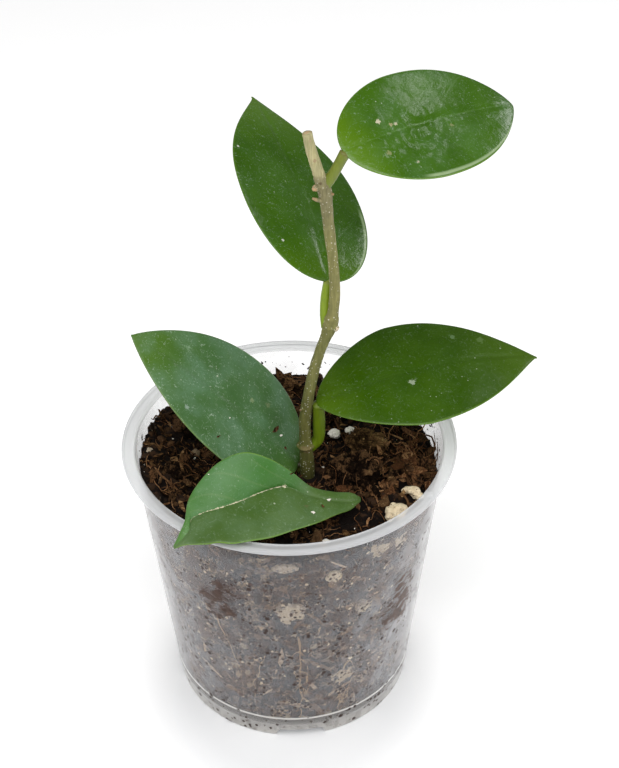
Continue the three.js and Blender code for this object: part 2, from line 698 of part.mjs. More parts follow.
const plant = makePlant();
const extent = new THREE.Box3().setFromObject(plant);
plant.position.set(-(extent.min.x + extent.max.x) / 2, -(extent.min.y + extent.max.y) / 2, -extent.min.z);

export default plant;
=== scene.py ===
# %% [markdown]
# # A potted hoya cutting
#
# A young hoya with five leaves stands in a clear plastic nursery pot full of dark potting mix.
# Its solids come packed from the CAD step and are the fixed frame. Each step below takes one of
# them, says what it is on the real plant, and lays a finer piece over it.

import json
import math
import random

import bmesh
import bpy
import numpy as np
from mathutils import Matrix, Vector, noise
from mathutils.bvhtree import BVHTree

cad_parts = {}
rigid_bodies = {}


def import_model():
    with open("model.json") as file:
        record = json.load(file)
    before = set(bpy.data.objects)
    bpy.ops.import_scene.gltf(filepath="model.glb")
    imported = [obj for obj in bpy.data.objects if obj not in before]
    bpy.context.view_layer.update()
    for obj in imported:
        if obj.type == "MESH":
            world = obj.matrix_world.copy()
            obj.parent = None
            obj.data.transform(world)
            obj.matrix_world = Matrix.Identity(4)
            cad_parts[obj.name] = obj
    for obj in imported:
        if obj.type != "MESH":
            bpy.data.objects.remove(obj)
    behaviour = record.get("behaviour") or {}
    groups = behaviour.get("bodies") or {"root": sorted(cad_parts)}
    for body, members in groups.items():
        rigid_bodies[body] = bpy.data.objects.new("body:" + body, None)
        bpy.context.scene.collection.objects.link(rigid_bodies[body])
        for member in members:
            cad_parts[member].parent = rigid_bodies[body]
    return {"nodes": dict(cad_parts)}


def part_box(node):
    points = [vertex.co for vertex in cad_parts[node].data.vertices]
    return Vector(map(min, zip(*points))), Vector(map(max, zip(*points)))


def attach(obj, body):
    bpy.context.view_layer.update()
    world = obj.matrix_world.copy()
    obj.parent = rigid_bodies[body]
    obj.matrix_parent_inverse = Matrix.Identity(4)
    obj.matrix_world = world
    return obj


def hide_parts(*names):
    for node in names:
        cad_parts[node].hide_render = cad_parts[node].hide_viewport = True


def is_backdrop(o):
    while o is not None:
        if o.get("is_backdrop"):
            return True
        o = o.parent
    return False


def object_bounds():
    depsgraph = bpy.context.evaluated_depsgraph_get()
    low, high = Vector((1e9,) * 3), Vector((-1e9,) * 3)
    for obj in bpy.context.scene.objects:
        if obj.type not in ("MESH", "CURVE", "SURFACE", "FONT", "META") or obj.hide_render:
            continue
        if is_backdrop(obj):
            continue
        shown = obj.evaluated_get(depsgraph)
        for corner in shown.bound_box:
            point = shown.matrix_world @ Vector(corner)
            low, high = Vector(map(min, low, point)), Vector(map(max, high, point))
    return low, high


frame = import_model()
cad_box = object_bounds()
print("CAD nodes:", len(frame["nodes"]), "box in metres:", [list(corner) for corner in cad_box])

# %% [markdown]
# ## Units
#
# Blender works in metres, but a plant is easier to think of in millimetres. The pot stands round
# one upright axis, so every point below is written in millimetres from the foot of that axis and
# turned into metres only when a mesh is made.

# %% Millimetres round the pot's axis
MM = 0.001
pot_low, pot_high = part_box("pot")
POT_AXIS = np.array([(pot_low[0] + pot_high[0]) / 2, (pot_low[1] + pot_high[1]) / 2, 0.0])


def to_metres(points):
    """Points in millimetres round the pot's axis, as metres in the shared frame."""
    return np.asarray(points, dtype=float) * MM + POT_AXIS


def box_mm(node):
    """The low and the high corner of a CAD node, in millimetres round the pot's axis."""
    return [(np.array(corner) - POT_AXIS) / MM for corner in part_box(node)]


print("the pot's axis in millimetres:", (POT_AXIS / MM).round(2))

# %% [markdown]
# ## From points to a piece
#
# A grown surface is a formula more often than a stack of modifiers, so most pieces here are
# points and faces worked out with numpy. One helper makes the Blender mesh, gives it its
# finishes, puts it on the body it rides on and hides the CAD nodes it stands for.

# %% Make one piece
def add_piece(
    name, points, faces, finishes, stands_for=(), finish_of=None, uv=None, tone=None, soft=True
):
    """A mesh object from points in mm. uv and tone hold one value for each point."""
    mesh = bpy.data.meshes.new(name)
    mesh.from_pydata(to_metres(points).tolist(), [], [tuple(face) for face in faces])
    if soft:
        mesh.shade_smooth()
    for finish in finishes:
        mesh.materials.append(finish)
    if finish_of is not None:
        mesh.polygons.foreach_set("material_index", np.asarray(finish_of, dtype=np.int32))
    if uv is not None:
        corners = np.empty(len(mesh.loops), dtype=np.int32)
        mesh.loops.foreach_get("vertex_index", corners)
        layer = mesh.uv_layers.new(name="blade")
        layer.data.foreach_set("uv", np.asarray(uv, dtype=float)[corners].ravel())
    if tone is not None:
        layer = mesh.attributes.new("tone", "FLOAT", "POINT")
        layer.data.foreach_set("value", np.asarray(tone, dtype=float))
    piece = bpy.data.objects.new(name, mesh)
    bpy.context.scene.collection.objects.link(piece)
    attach(piece, "root")
    if stands_for:
        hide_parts(*stands_for)
    mesh.calc_loop_triangles()
    print(name, "has", len(mesh.loop_triangles), "triangles")
    return piece


# %% Put points and faces together
def quads(grid):
    """The four-cornered faces between the rows and columns of a grid of point numbers."""
    return np.stack([grid[:-1, :-1], grid[1:, :-1], grid[1:, 1:], grid[:-1, 1:]], axis=-1).reshape(-1, 4)


def read_rows(vertices, what="co"):
    """The place or the normal of each vertex of a mesh, as rows."""
    values = np.empty(len(vertices) * 3)
    vertices.foreach_get(what, values)
    return values.reshape(-1, 3)


def merged(shapes):
    """Several (points, faces) as one, with the shape's number for each point."""
    points, faces, owner, start = [], [], [], 0
    for number, (some_points, some_faces) in enumerate(shapes):
        points.append(some_points)
        faces.extend(tuple(corner + start for corner in face) for face in some_faces)
        owner.append(np.full(len(some_points), number))
        start += len(some_points)
    return np.concatenate(points), faces, np.concatenate(owner)


# %% A smooth line through a few points
def smooth_line(knots, count):
    """A centripetal Catmull-Rom curve through rows of x, y, z and anything more."""
    knots = np.asarray(knots, dtype=float)
    padded = np.vstack([2 * knots[0] - knots[1], knots, 2 * knots[-1] - knots[-2]])
    line = []
    for reach in np.linspace(0, len(knots) - 1, count):
        i = min(int(reach), len(knots) - 2)
        w = reach - i
        p0, p1, p2, p3 = padded[i : i + 4]
        d0, d1, d2 = (
            max(np.sum((b[:3] - a[:3]) ** 2) ** 0.25, 1e-4) for a, b in ((p0, p1), (p1, p2), (p2, p3))
        )
        start = ((p1 - p0) / d0 - (p2 - p0) / (d0 + d1) + (p2 - p1) / d1) * d1
        end = ((p2 - p1) / d1 - (p3 - p1) / (d1 + d2) + (p3 - p2) / d2) * d1
        bend = -3 * p1 + 3 * p2 - 2 * start - end
        line.append(p1 + start * w + bend * w**2 + (2 * p1 - 2 * p2 + start + end) * w**3)
    return np.array(line)


# %% A round tube along a line
def tube(path, radii, sides):
    """Points and faces of a closed tube. radii has one value a ring, or one a point."""
    path = np.asarray(path, dtype=float)
    rings = len(path)
    radii = np.asarray(radii, dtype=float)
    if radii.ndim == 1:
        radii = radii[:, None]
    tangents = np.gradient(path, axis=0)
    tangents /= np.linalg.norm(tangents, axis=1)[:, None]
    across = np.array([1.0, 0.0, 0.0]) if abs(tangents[0][0]) < 0.7 else np.array([0.0, 1.0, 0.0])
    frames = []
    for tangent in tangents:
        across = across - tangent * across.dot(tangent)
        across /= np.linalg.norm(across)
        frames.append((across, np.cross(tangent, across)))
    frames = np.array(frames)
    turn = np.linspace(0, 2 * math.pi, sides, endpoint=False)
    spokes = frames[:, None, 0] * np.cos(turn)[:, None] + frames[:, None, 1] * np.sin(turn)[:, None]
    skin = path[:, None] + spokes * radii[:, :, None]
    first = path[0] - tangents[0] * radii[0].mean() * 0.3
    last = path[-1] + tangents[-1] * radii[-1].mean() * 0.3
    points = np.vstack([skin.reshape(-1, 3), first, last])
    faces = []
    for i in range(rings - 1):
        for j in range(sides):
            a, b = i * sides + j, i * sides + (j + 1) % sides
            faces.append((a, b, b + sides, a + sides))
    low, high, top = rings * sides, rings * sides + 1, (rings - 1) * sides
    for j in range(sides):
        k = (j + 1) % sides
        faces.append((low, k, j))
        faces.append((high, top + j, top + k))
    return points, faces


# %% [markdown]
# ## Noise that stays the same
#
# Noise turns plain shapes into bark and crumbs. One of its functions starts from the clock unless
# it is given a seed, so it gets one here, and every run builds the same pieces.

# %% Soft random bumps
NOISE_SEED = 1
noise.seed_set(NOISE_SEED)


def bumps(points, size, seed, octaves=3):
    """Fractal noise at each point, about -1 to 1. size is the width of one bump in mm."""
    shift = Vector((seed * 17.31, seed * 5.17, seed * 9.73))
    return np.array([noise.fractal(Vector(p) / size + shift, 1.0, 2.0, octaves) for p in points])


def crumbs(points, size, seed):
    """Rounded crumbs that touch: a height of 0 to 1 and a random tone for each point."""
    shift = Vector((seed * 3.7, seed * 11.3, seed * 7.9))
    heights, tones = [], []
    for p in points:
        place = Vector(p) / size + shift
        place += 0.35 * noise.noise_vector(place * 1.7)
        distances, centres = noise.voronoi(place)
        chance = noise.cell(centres[0] * 5.3 + shift)
        dome = math.sqrt(max(0.0, 1 - (distances[0] / 0.85) ** 2))
        heights.append(dome * (0.35 + 0.65 * chance))
        tones.append(chance)
    return np.array(heights), np.array(tones)


def fade(value, low, high):
    """0 below low, 1 above high and a smooth step between."""
    share = np.clip((np.asarray(value, dtype=float) - low) / (high - low), 0, 1)
    return share * share * (3 - 2 * share)


# %% [markdown]
# ## Shader helpers
#
# A finish is a tree of small nodes. Short helpers keep that readable: one puts a node in with its
# inputs, a few do arithmetic, one turns a range of values into a mask, and one lays colours over
# each other. Every finish starts from the same place vector, in millimetres round the pot's
# axis, so a pattern's size in the shader is its real size.

# %% Put nodes in a tree
def put(tree, kind, inputs=None, **settings):
    """A new node. Each input is a value, or another node's output to link."""
    node = tree.nodes.new("ShaderNode" + kind)
    for key, value in settings.items():
        setattr(node, key, value)
    for key, value in (inputs or {}).items():
        if isinstance(value, bpy.types.NodeSocket):
            tree.links.new(value, node.inputs[key])
        else:
            node.inputs[key].default_value = value
    return node


# %% Arithmetic on values and vectors
def sums(tree, operation, a, b=0.0):
    """One step of arithmetic on one or two values."""
    return put(tree, "Math", {0: a, 1: b}, operation=operation).outputs[0]


def times(tree, a, b, plus=0.0, clamp=False):
    """a times b, plus a third value where one is given."""
    return put(tree, "Math", {0: a, 1: b, 2: plus}, operation="MULTIPLY_ADD", use_clamp=clamp).outputs[0]


def larger(tree, a, b):
    """The larger of two masks."""
    return sums(tree, "MAXIMUM", a, b)


def clouds(tree, place, scale, **more):
    """Noise of 0 to 1. scale is how many clouds go to one unit of the place."""
    return put(tree, "TexNoise", {"Vector": place, "Scale": scale, **more}).outputs[0]


def part_of(tree, vector, number):
    """One part of a vector: 0, 1 or 2."""
    return put(tree, "SeparateXYZ", {0: vector}).outputs[number]


def vectors(tree, operation, a, b=(0, 0, 0), plus=(0, 0, 0)):
    """One step of arithmetic on vectors. A distance or a length comes out as one number."""
    done = put(tree, "VectorMath", {0: a, 1: b, 2: plus}, operation=operation).outputs
    return done["Value" if operation in ("DISTANCE", "LENGTH") else "Vector"]


def off(tree, value, middle=0.5):
    """How far a value is from a middle."""
    return sums(tree, "ABSOLUTE", sums(tree, "SUBTRACT", value, middle))


# %% Masks and colours
def blend(tree, factor, a, b, mode="MIX"):
    """Two colours, mixed by a mask. A colour is four numbers or another node's output."""
    inputs = {0: factor, 6: a, 7: b}
    return put(tree, "Mix", inputs, data_type="RGBA", blend_type=mode).outputs[2]


def window(tree, value, low, high, bottom=0.0, top=1.0):
    """A smooth mask: bottom where the value is under low, top where it is over high."""
    inputs = {"Value": value, "From Min": low, "From Max": high, "To Min": bottom, "To Max": top}
    return put(tree, "MapRange", inputs, interpolation_type="SMOOTHSTEP").outputs[0]


def rgb(red, green, blue):
    """A colour as linear light."""
    return (red, green, blue, 1.0)


def layers(tree, colour, rows):
    """A colour with others laid over it, from rows of mask and colour."""
    for mask, over in rows:
        colour = blend(tree, mask, colour, over)
    return colour


def piled(tree, level, rows):
    """A level raised by several masks, from rows of mask and amount."""
    for mask, amount in rows:
        level = times(tree, mask, amount, level)
    return level


# %% Start a group or a finish
def new_group(name, inputs, outputs):
    """An empty node group. inputs maps names to values, with None for a vector that is linked."""
    group = bpy.data.node_groups.new(name, "ShaderNodeTree")
    for label, value in inputs.items():
        kind = "Float" if isinstance(value, float) else "Vector"
        socket = group.interface.new_socket(label, in_out="INPUT", socket_type="NodeSocket" + kind)
        if value is not None:
            socket.default_value = value
    for label in outputs:
        group.interface.new_socket(label, in_out="OUTPUT", socket_type="NodeSocketFloat")
    return group, group.nodes.new("NodeGroupInput").outputs, group.nodes.new("NodeGroupOutput")


def give(group, result, **values):
    """The group with its outputs linked. Output names are written with _ for a space."""
    for label, value in values.items():
        group.links.new(value, result.inputs[label.replace("_", " ")])
    return group


def use(tree, group, **inputs):
    """A group placed in a tree. Input names are written with _ for a space."""
    node = tree.nodes.new("ShaderNodeGroup")
    node.node_tree = group
    for key, value in inputs.items():
        socket = node.inputs[key.replace("_", " ")]
        if isinstance(value, bpy.types.NodeSocket):
            tree.links.new(value, socket)
        else:
            socket.default_value = value
    return node.outputs


def new_finish(name, **constants):
    """A material with its Principled shader, and the place vector in mm round the axis."""
    finish = bpy.data.materials.new(name)
    finish.use_nodes = True
    tree = finish.node_tree
    shader = tree.nodes["Principled BSDF"]
    for key, value in constants.items():
        shader.inputs[key.replace("_", " ")].default_value = value
    coordinates = put(tree, "TexCoord").outputs["Object"]
    place = vectors(tree, "MULTIPLY_ADD", coordinates, (1 / MM,) * 3, tuple(-POT_AXIS / MM))
    return finish, tree, shader.inputs, place


def relief(tree, sockets, height, depth):
    """Bump from a height of 0 to 1. depth is the real depth in mm."""
    inputs = {"Height": height, "Distance": depth * MM, "Strength": 1.0}
    tree.links.new(put(tree, "Bump", inputs).outputs[0], sockets["Normal"])


# %% [markdown]
# ## Shared effects
#
# Nature repeats itself: leaf, stem, soil and pot all need cloudy mottling, scattered specks,
# streaks along a grain, a settled film of dust and a few single marks. Each is a node group
# with named inputs, so that one pattern serves every material with values of its own.

# %% Mottle, specks, streaks
def make_mottle():
    """Cloudy patches, like the uneven green of a leaf."""
    inputs = {"Place": None, "Size": 5.0, "Detail": 4.0, "Contrast": 0.5}
    group, given, result = new_group("Mottle", inputs, ["Mask"])
    scale = sums(group, "DIVIDE", 1.0, given["Size"])
    cloud = clouds(group, given["Place"], scale, Detail=given["Detail"])
    low = times(group, given["Contrast"], -0.25, 0.35)
    high = sums(group, "SUBTRACT", 1.0, low)
    return give(group, result, Mask=put(group, "MapRange", {0: cloud, 1: low, 2: high}).outputs[0])


def make_specks():
    """Scattered dots of uneven outline: their radius, the width of a cell, and the share with a dot."""
    inputs = {"Place": None, "Spacing": 3.0, "Size": 0.4, "Share": 0.5}
    group, given, result = new_group("Specks", inputs, ["Mask", "Tone"])
    place, spacing, size = given["Place"], given["Spacing"], given["Size"]
    ragged = clouds(group, place, sums(group, "DIVIDE", 1.2, size))
    scale = sums(group, "DIVIDE", 1.0, spacing)
    cells = put(group, "TexVoronoi", {"Vector": place, "Scale": scale}).outputs
    distance = times(group, cells["Distance"], spacing)
    uneven = times(group, sums(group, "SUBTRACT", ragged, 0.5), size, distance)
    dot = window(group, uneven, times(group, size, 0.75), times(group, size, 1.1), 1.0, 0.0)
    draws = put(group, "SeparateColor", {0: cells["Color"]}).outputs
    chosen = sums(group, "LESS_THAN", draws[0], given["Share"])
    return give(group, result, Mask=times(group, dot, chosen), Tone=draws[1])


def make_streaks():
    """Streaks along a grain. Stretch is how much longer than wide, by axis."""
    inputs = {"Place": None, "Width": 0.6, "Stretch": (1, 1, 10), "Warp": 0.5}
    group, given, result = new_group("Streaks", inputs, ["Mask"])
    wander = put(group, "TexNoise", {"Vector": given["Place"], "Scale": 0.25, "Detail": 2.0})
    pull = {0: wander.outputs["Color"], "Scale": given["Warp"]}
    pull = put(group, "VectorMath", pull, operation="SCALE").outputs[0]
    moved = vectors(group, "ADD", given["Place"], pull)
    long = vectors(group, "DIVIDE", moved, given["Stretch"])
    grain = clouds(group, long, sums(group, "DIVIDE", 1.0, given["Width"]), Detail=3.0)
    return give(group, result, Mask=window(group, grain, 0.3, 0.7))


mottle, specks, streaks = make_mottle(), make_specks(), make_streaks()
print("shared groups:", [group.name for group in (mottle, specks, streaks)])


# %% Dust and single marks
def make_dust():
    """A film of dust in soft clouds on what faces up, and the fine scratches rubbed into it."""
    inputs = {"Place": None, "Amount": 0.3, "Size": 6.0}
    group, given, result = new_group("Dust", inputs, ["Film", "Scratches"])
    place = given["Place"]
    facing = part_of(group, put(group, "NewGeometry").outputs["Normal"], 2)
    settled = times(group, window(group, facing, -0.1, 0.6), given["Amount"])
    broad = clouds(group, place, sums(group, "DIVIDE", 0.8, given["Size"]), Detail=3.0)
    fine = clouds(group, place, 1.4, Detail=7.0, Roughness=0.75)
    cloud = times(group, window(group, broad, 0.40, 0.66), window(group, fine, 0.30, 0.75, 0.35, 1.0))
    scratches = 0.0
    for scale, shift in ((0.22, 7.0), (0.36, 31.0)):
        moved = vectors(group, "ADD", place, (shift, shift, shift))
        line = off(group, clouds(group, moved, scale, Detail=1.0, Distortion=1.4))
        scratches = larger(group, scratches, window(group, line, 0.004, 0.014, 1.0, 0.0))
    broken = times(group, scratches, window(group, fine, 0.48, 0.60))
    film = times(group, cloud, settled, clamp=True)
    return give(group, result, Film=film, Scratches=times(group, broken, settled, clamp=True))


def make_mark():
    """One soft-edged mark round a point, such as a scar or a wet patch."""
    inputs = {"Place": None, "Centre": None, "Radius": 2.0, "Ragged": 0.5}
    group, given, result = new_group("Mark", inputs, ["Mask"])
    apart = vectors(group, "DISTANCE", given["Place"], given["Centre"])
    ragged = clouds(group, given["Place"], sums(group, "DIVIDE", 1.5, given["Radius"]), Detail=5.0)
    swing = times(group, sums(group, "SUBTRACT", ragged, 0.5), given["Ragged"])
    share = sums(group, "ADD", sums(group, "DIVIDE", apart, given["Radius"]), times(group, swing, 4.0))
    return give(group, result, Mask=window(group, share, 0.75, 1.1, 1.0, 0.0))


dust, mark = make_dust(), make_mark()
print("single marks and dust:", dust.name, mark.name)


def spots(tree, place, rows, ragged):
    """The mask of several single marks, from rows of centre and radius."""
    mask = 0.0
    for centre, radius in rows:
        spot = use(tree, mark, Place=place, Centre=centre, Radius=radius, Ragged=ragged)["Mask"]
        mask = larger(tree, mask, spot)
    return mask


# %% [markdown]
# ## Camera, floor and light
#
# The picture looks down at the pot at about 37 degrees from less than 600 mm away. The real thing
# stood in a bright, white, nearly shadowless studio. Here three large soft lights and a faint
# white sky light it, and the paper of the floor glows a little, less so round the foot: a painted
# shadow. Two small lights behind the pot give the leaves their sheen.

# %% Camera
LOOK_DOWN = math.radians(37.3)
LOOK_RIGHT = math.radians(0.75)
TILT = math.radians(-1.06)
LENS = 75.656
STANDPOINT = (0, -392.6, 415)

camera_data = bpy.data.cameras.new("Camera")
camera_data.lens = LENS
camera_data.clip_start = 0.02
camera = bpy.data.objects.new("Camera", camera_data)
pitch = Matrix.Rotation(math.pi / 2 - LOOK_DOWN, 4, "X")
turn = Matrix.Rotation(-LOOK_RIGHT, 4, "Y") @ Matrix.Rotation(TILT, 4, "Z")
camera.matrix_world = Matrix.Translation(to_metres(STANDPOINT)) @ pitch @ turn
bpy.context.scene.collection.objects.link(camera)
bpy.context.scene.camera = camera
print("camera", round(camera.location.length, 3), "m from the middle of the foot")


# %% Floor
FLOOR_RADIUS = 3.0
FLOOR_DROP = 0.0002
PAINTED_SHADOW_CENTRE = (0, -22, 0)


def make_floor():
    """A wide round sheet of matt white paper that glows a little, so that shadows stay faint, and glows less
    round the foot, as a painted shadow.
    """
    finish, tree, sockets, place = new_finish("studio_paper", Roughness=0.9, Emission_Strength=0.42)
    # Painted shadow: the floor's glow is darker within about 64 mm of a point in front of the foot.
    away = window(tree, vectors(tree, "DISTANCE", place, PAINTED_SHADOW_CENTRE), 30.0, 64.0)
    glow = blend(tree, away, rgb(0.06, 0.07, 0.09), rgb(1, 1, 1))
    paper = blend(tree, clouds(tree, place, 0.02, Detail=2.0), rgb(0.86, 0.86, 0.86), rgb(0.88, 0.88, 0.88))
    tree.links.new(glow, sockets["Emission Color"])
    tree.links.new(paper, sockets["Base Color"])
    sides = 64
    angles = [2 * math.pi * i / sides for i in range(sides)]
    ring = [(FLOOR_RADIUS * math.cos(angle), FLOOR_RADIUS * math.sin(angle), 0) for angle in angles]
    mesh = bpy.data.meshes.new("floor")
    mesh.from_pydata(ring, [], [tuple(range(sides))])
    mesh.materials.append(finish)
    floor = bpy.data.objects.new("floor", mesh)
    floor.location.z = -FLOOR_DROP
    bpy.context.scene.collection.objects.link(floor)
    floor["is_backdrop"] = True
    print("floor radius in metres:", FLOOR_RADIUS)


make_floor()


# %% Light
def soft_light(name, place, target, size, power):
    """A square softbox at a place in metres, turned to a target."""
    data = bpy.data.lights.new(name, "AREA")
    data.size = size
    data.energy = power
    light = bpy.data.objects.new(name, data)
    light.location = place
    light.rotation_euler = (Vector(target) - Vector(place)).to_track_quat("-Z", "Y").to_euler()
    bpy.context.scene.collection.objects.link(light)


SKY = 0.16
LIGHTS = {
    "overhead": ((-0.05, -0.55, 1.1), (0, 0, 0), 1.1, 12.0),
    "left": ((-1.0, -0.3, 0.7), (0, 0, 0.08), 1.0, 3.6),
    "right": ((1.0, -0.45, 0.6), (0, 0, 0.08), 0.9, 4.4),
    "window": ((0.80, 0.56, 0.50), (0.01, 0, 0.12), 0.14, 0.45),
    "glint": ((0.50, 0.42, 0.90), (0.03, 0, 0.18), 0.14, 0.32),
}

world = bpy.data.worlds.new("studio")
world.use_nodes = True
sky = world.node_tree.nodes["Background"].inputs
sky["Color"].default_value = rgb(1, 1, 1)
sky["Strength"].default_value = SKY
bpy.context.scene.world = world
for name, (place, target, size, power) in LIGHTS.items():
    soft_light(name, place, target, size, power)
bpy.context.scene.view_settings.view_transform = "Standard"
print("lights:", len(LIGHTS), "and a sky of", SKY)

# %% [markdown]
# ## The nursery pot
#
# The pot is thermoformed from thin clear plastic: a tapered wall, a flat rolled flange, a raised
# floor and a foot ring with four arched notches. Its section is turned round the axis, finer
# than the CAD solid and with soft corners, and the ring of points nearest the ground is lifted
# where a notch is, so the notches need no boolean. The drain holes are cut by one.

# %% Pot sizes
POT_HEIGHT = 95.0
FLANGE_THICKNESS = 1.6
WALL_THICKNESS = 0.9
FOOT_RADIUS, TOP_RADIUS = 38.9, 49.0
WALL_TAPER = (TOP_RADIUS - FOOT_RADIUS) / (POT_HEIGHT - FLANGE_THICKNESS)
NOTCH_WIDTH, NOTCH_HEIGHT, NOTCH_ANGLE = 16.6, 3.0, -87.0
DRAIN_RADIUS, DRAIN_CIRCLE = 4.0, 24.0
POT_SIDES = 240


def wall_inside(z):
    """Inside radius of the wall at a height."""
    return FOOT_RADIUS - WALL_THICKNESS + WALL_TAPER * z


def wall_outside(z):
    """Outside radius of the wall at a height."""
    return wall_inside(z) + WALL_THICKNESS


def notch_lift(angle):
    """How high the foot is off the ground at an angle round the pot."""
    from_notch = (np.degrees(angle) - NOTCH_ANGLE + 45) % 90 - 45
    sideways = np.abs(np.radians(from_notch)) * 38.5
    return NOTCH_HEIGHT * fade(-sideways, -NOTCH_WIDTH / 2, -NOTCH_WIDTH / 2 + 1.5)


# %% Turn the pot
def pot_section():
    """Radius and height round the section: floor, foot, outer wall, flange, inner wall, floor."""
    outer, inner, lip, top = wall_outside, wall_inside, POT_HEIGHT - FLANGE_THICKNESS, POT_HEIGHT
    section = [(0.01, 5.0), (20, 5.0), (outer(5) - 3, 5.0), (outer(4.6) - 1.6, 4.8), (outer(4) - 1.2, 4.2)]
    section += [(outer(z) - 1.2, z) for z in (3.2, 2, 1, 0.3)]
    section += [(outer(0) - 0.9, 0), (outer(0) - 0.3, 0), (outer(0.3), 0.3)]
    section += [(outer(z), z) for z in (1, 2, 3.2, 4.4, 5.2)]
    section += [(outer(5.8) + 0.12, 5.8), (outer(6.6) + 0.12, 6.6)]
    section += [(outer(z), z) for z in np.linspace(7.4, lip - 1.2, 22)]
    section += [(outer(lip - 0.5) + 0.1, lip - 0.5), (outer(lip) + 0.5, lip), (51.4, lip), (51.9, lip + 0.05)]
    for step in range(7):
        corner = -math.pi / 2 + math.pi * step / 6
        section.append((51.8 + 0.7 * math.cos(corner), lip + 0.8 + 0.8 * math.sin(corner)))
    section += [(51.2, top), (50.4, top - 0.12), (49.6, top - 0.04), (49.1, top), (48.75, top - 0.15)]
    section += [(inner(94.2) + 0.12, 94.3), (inner(93.4), 93.4)]
    section += [(inner(z), z) for z in np.linspace(92.4, 8, 20)]
    section += [(inner(7) - 0.1, 7.0), (inner(6.3) - 0.5, 6.3), (inner(6) - 1.2, 6.0), (20, 6.0), (0.01, 6.0)]
    return np.array(section)


def make_pot(finishes):
    """The section turned round the axis, with its notches, its drain holes and two finishes."""
    section = pot_section()
    turn = np.linspace(0, 2 * math.pi, POT_SIDES, endpoint=False)
    lift = notch_lift(turn)
    points = []
    for radius, height in section:
        lifted = np.full(POT_SIDES, height)
        if height < NOTCH_HEIGHT + 0.3 and radius > 30:
            lifted = np.maximum(height, lift + 0.1 * height)
        spread = radius + WALL_TAPER * (lifted - height)
        points.append(np.stack([spread * np.cos(turn), spread * np.sin(turn), lifted], axis=1))
    faces, finish_of = [], []
    rows = len(section)
    for i in range(rows - 1):
        radius, height = (section[i] + section[i + 1]) / 2
        inside = abs(radius - wall_inside(height)) < 0.2 and 7 < height < 93
        low, high = i * POT_SIDES, (i + 1) * POT_SIDES
        for j in range(POT_SIDES):
            k = (j + 1) % POT_SIDES
            faces.append((low + j, low + k, high + k, high + j))
            finish_of.append(int(inside))
    faces.append(tuple(range(POT_SIDES - 1, -1, -1)))
    faces.append(tuple((rows - 1) * POT_SIDES + j for j in range(POT_SIDES)))
    finish_of += [0, 0]
    pot = add_piece(
        "nursery_pot", np.concatenate(points), faces, finishes, ["pot"], finish_of=finish_of
    )
    drill = bpy.data.objects.new("drill", drain_tool())
    bpy.context.scene.collection.objects.link(drill)
    cut = pot.modifiers.new("drain holes", "BOOLEAN")
    cut.object = drill
    cut.solver = "EXACT"
    drilled = bpy.data.meshes.new_from_object(pot.evaluated_get(bpy.context.evaluated_depsgraph_get()))
    pot.modifiers.clear()
    pot.data = drilled
    bpy.data.objects.remove(drill)
    print("drilled pot has", len(drilled.polygons), "faces")


def drain_tool():
    """Upright pegs where the drain holes go: one in the middle and six round it."""
    pegs = []
    for i in range(7):
        angle = math.radians(60 * i + 30)
        reach = DRAIN_CIRCLE if i else 0.0
        x, y = reach * math.cos(angle), reach * math.sin(angle)
        pegs.append(tube([(x, y, 2.0), (x, y, 5.5), (x, y, 9.0)], [DRAIN_RADIUS] * 3, 32))
    points, faces, _ = merged(pegs)
    mesh = bpy.data.meshes.new("pegs")
    mesh.from_pydata(to_metres(points).tolist(), [], faces)
    return mesh


# %% [markdown]
# ## Clear plastic with a milky haze
#
# Cheap clear plastic is never quite clear. It scatters light, most of all where one looks along
# the wall, and it is stained by what it holds: damp crumbs stick to it and leave brown specks.
# Refraction would make the thin wall dark and noisy, so the haze is a pale skin with a low
# alpha instead. Layer Weight thickens it at grazing angles, as the longer way through the
# plastic does. The inner skin also has warm stains, threads and crusts, and it is clearer where
# wet peat is pressed to it. Mud and dark specks are drawn on both skins, because the haze of the
# outer one would hide them. A few broad places on the outer skin are paler, with a thicker haze.

# %% Where the mix touches the wall
CRUSTS = [
    ((-0.2, -44.7, 61.8), 4.0),
    ((12.9, -44.3, 75.8), 1.6),
    ((22.5, -38.1, 58.0), 2.0),
    ((26.6, -38.6, 82.2), 3.4),
    ((33.0, -33.0, 80.2), 2.8),
    ((15.5, -37.9, 27.0), 3.0),
]
SMEARS = [
    ((-23.2, -38.2, 61.5), 7.0),
    ((-19.5, -40.7, 69.0), 6.0),
    ((31.6, -29.2, 46.5), 9.0),
    ((34.0, -27.8, 57.0), 7.0),
]
# Broad places on the outer skin where its haze is thicker, so the wall looks paler there.
PALER_PLACES = [
    ((36.5, -22.0, 55.0), 17.0),
    ((34.0, -22.0, 30.0), 14.0),
    ((40.0, -20.0, 80.0), 12.0),
    ((-38.0, -16.0, 60.0), 12.0),
]


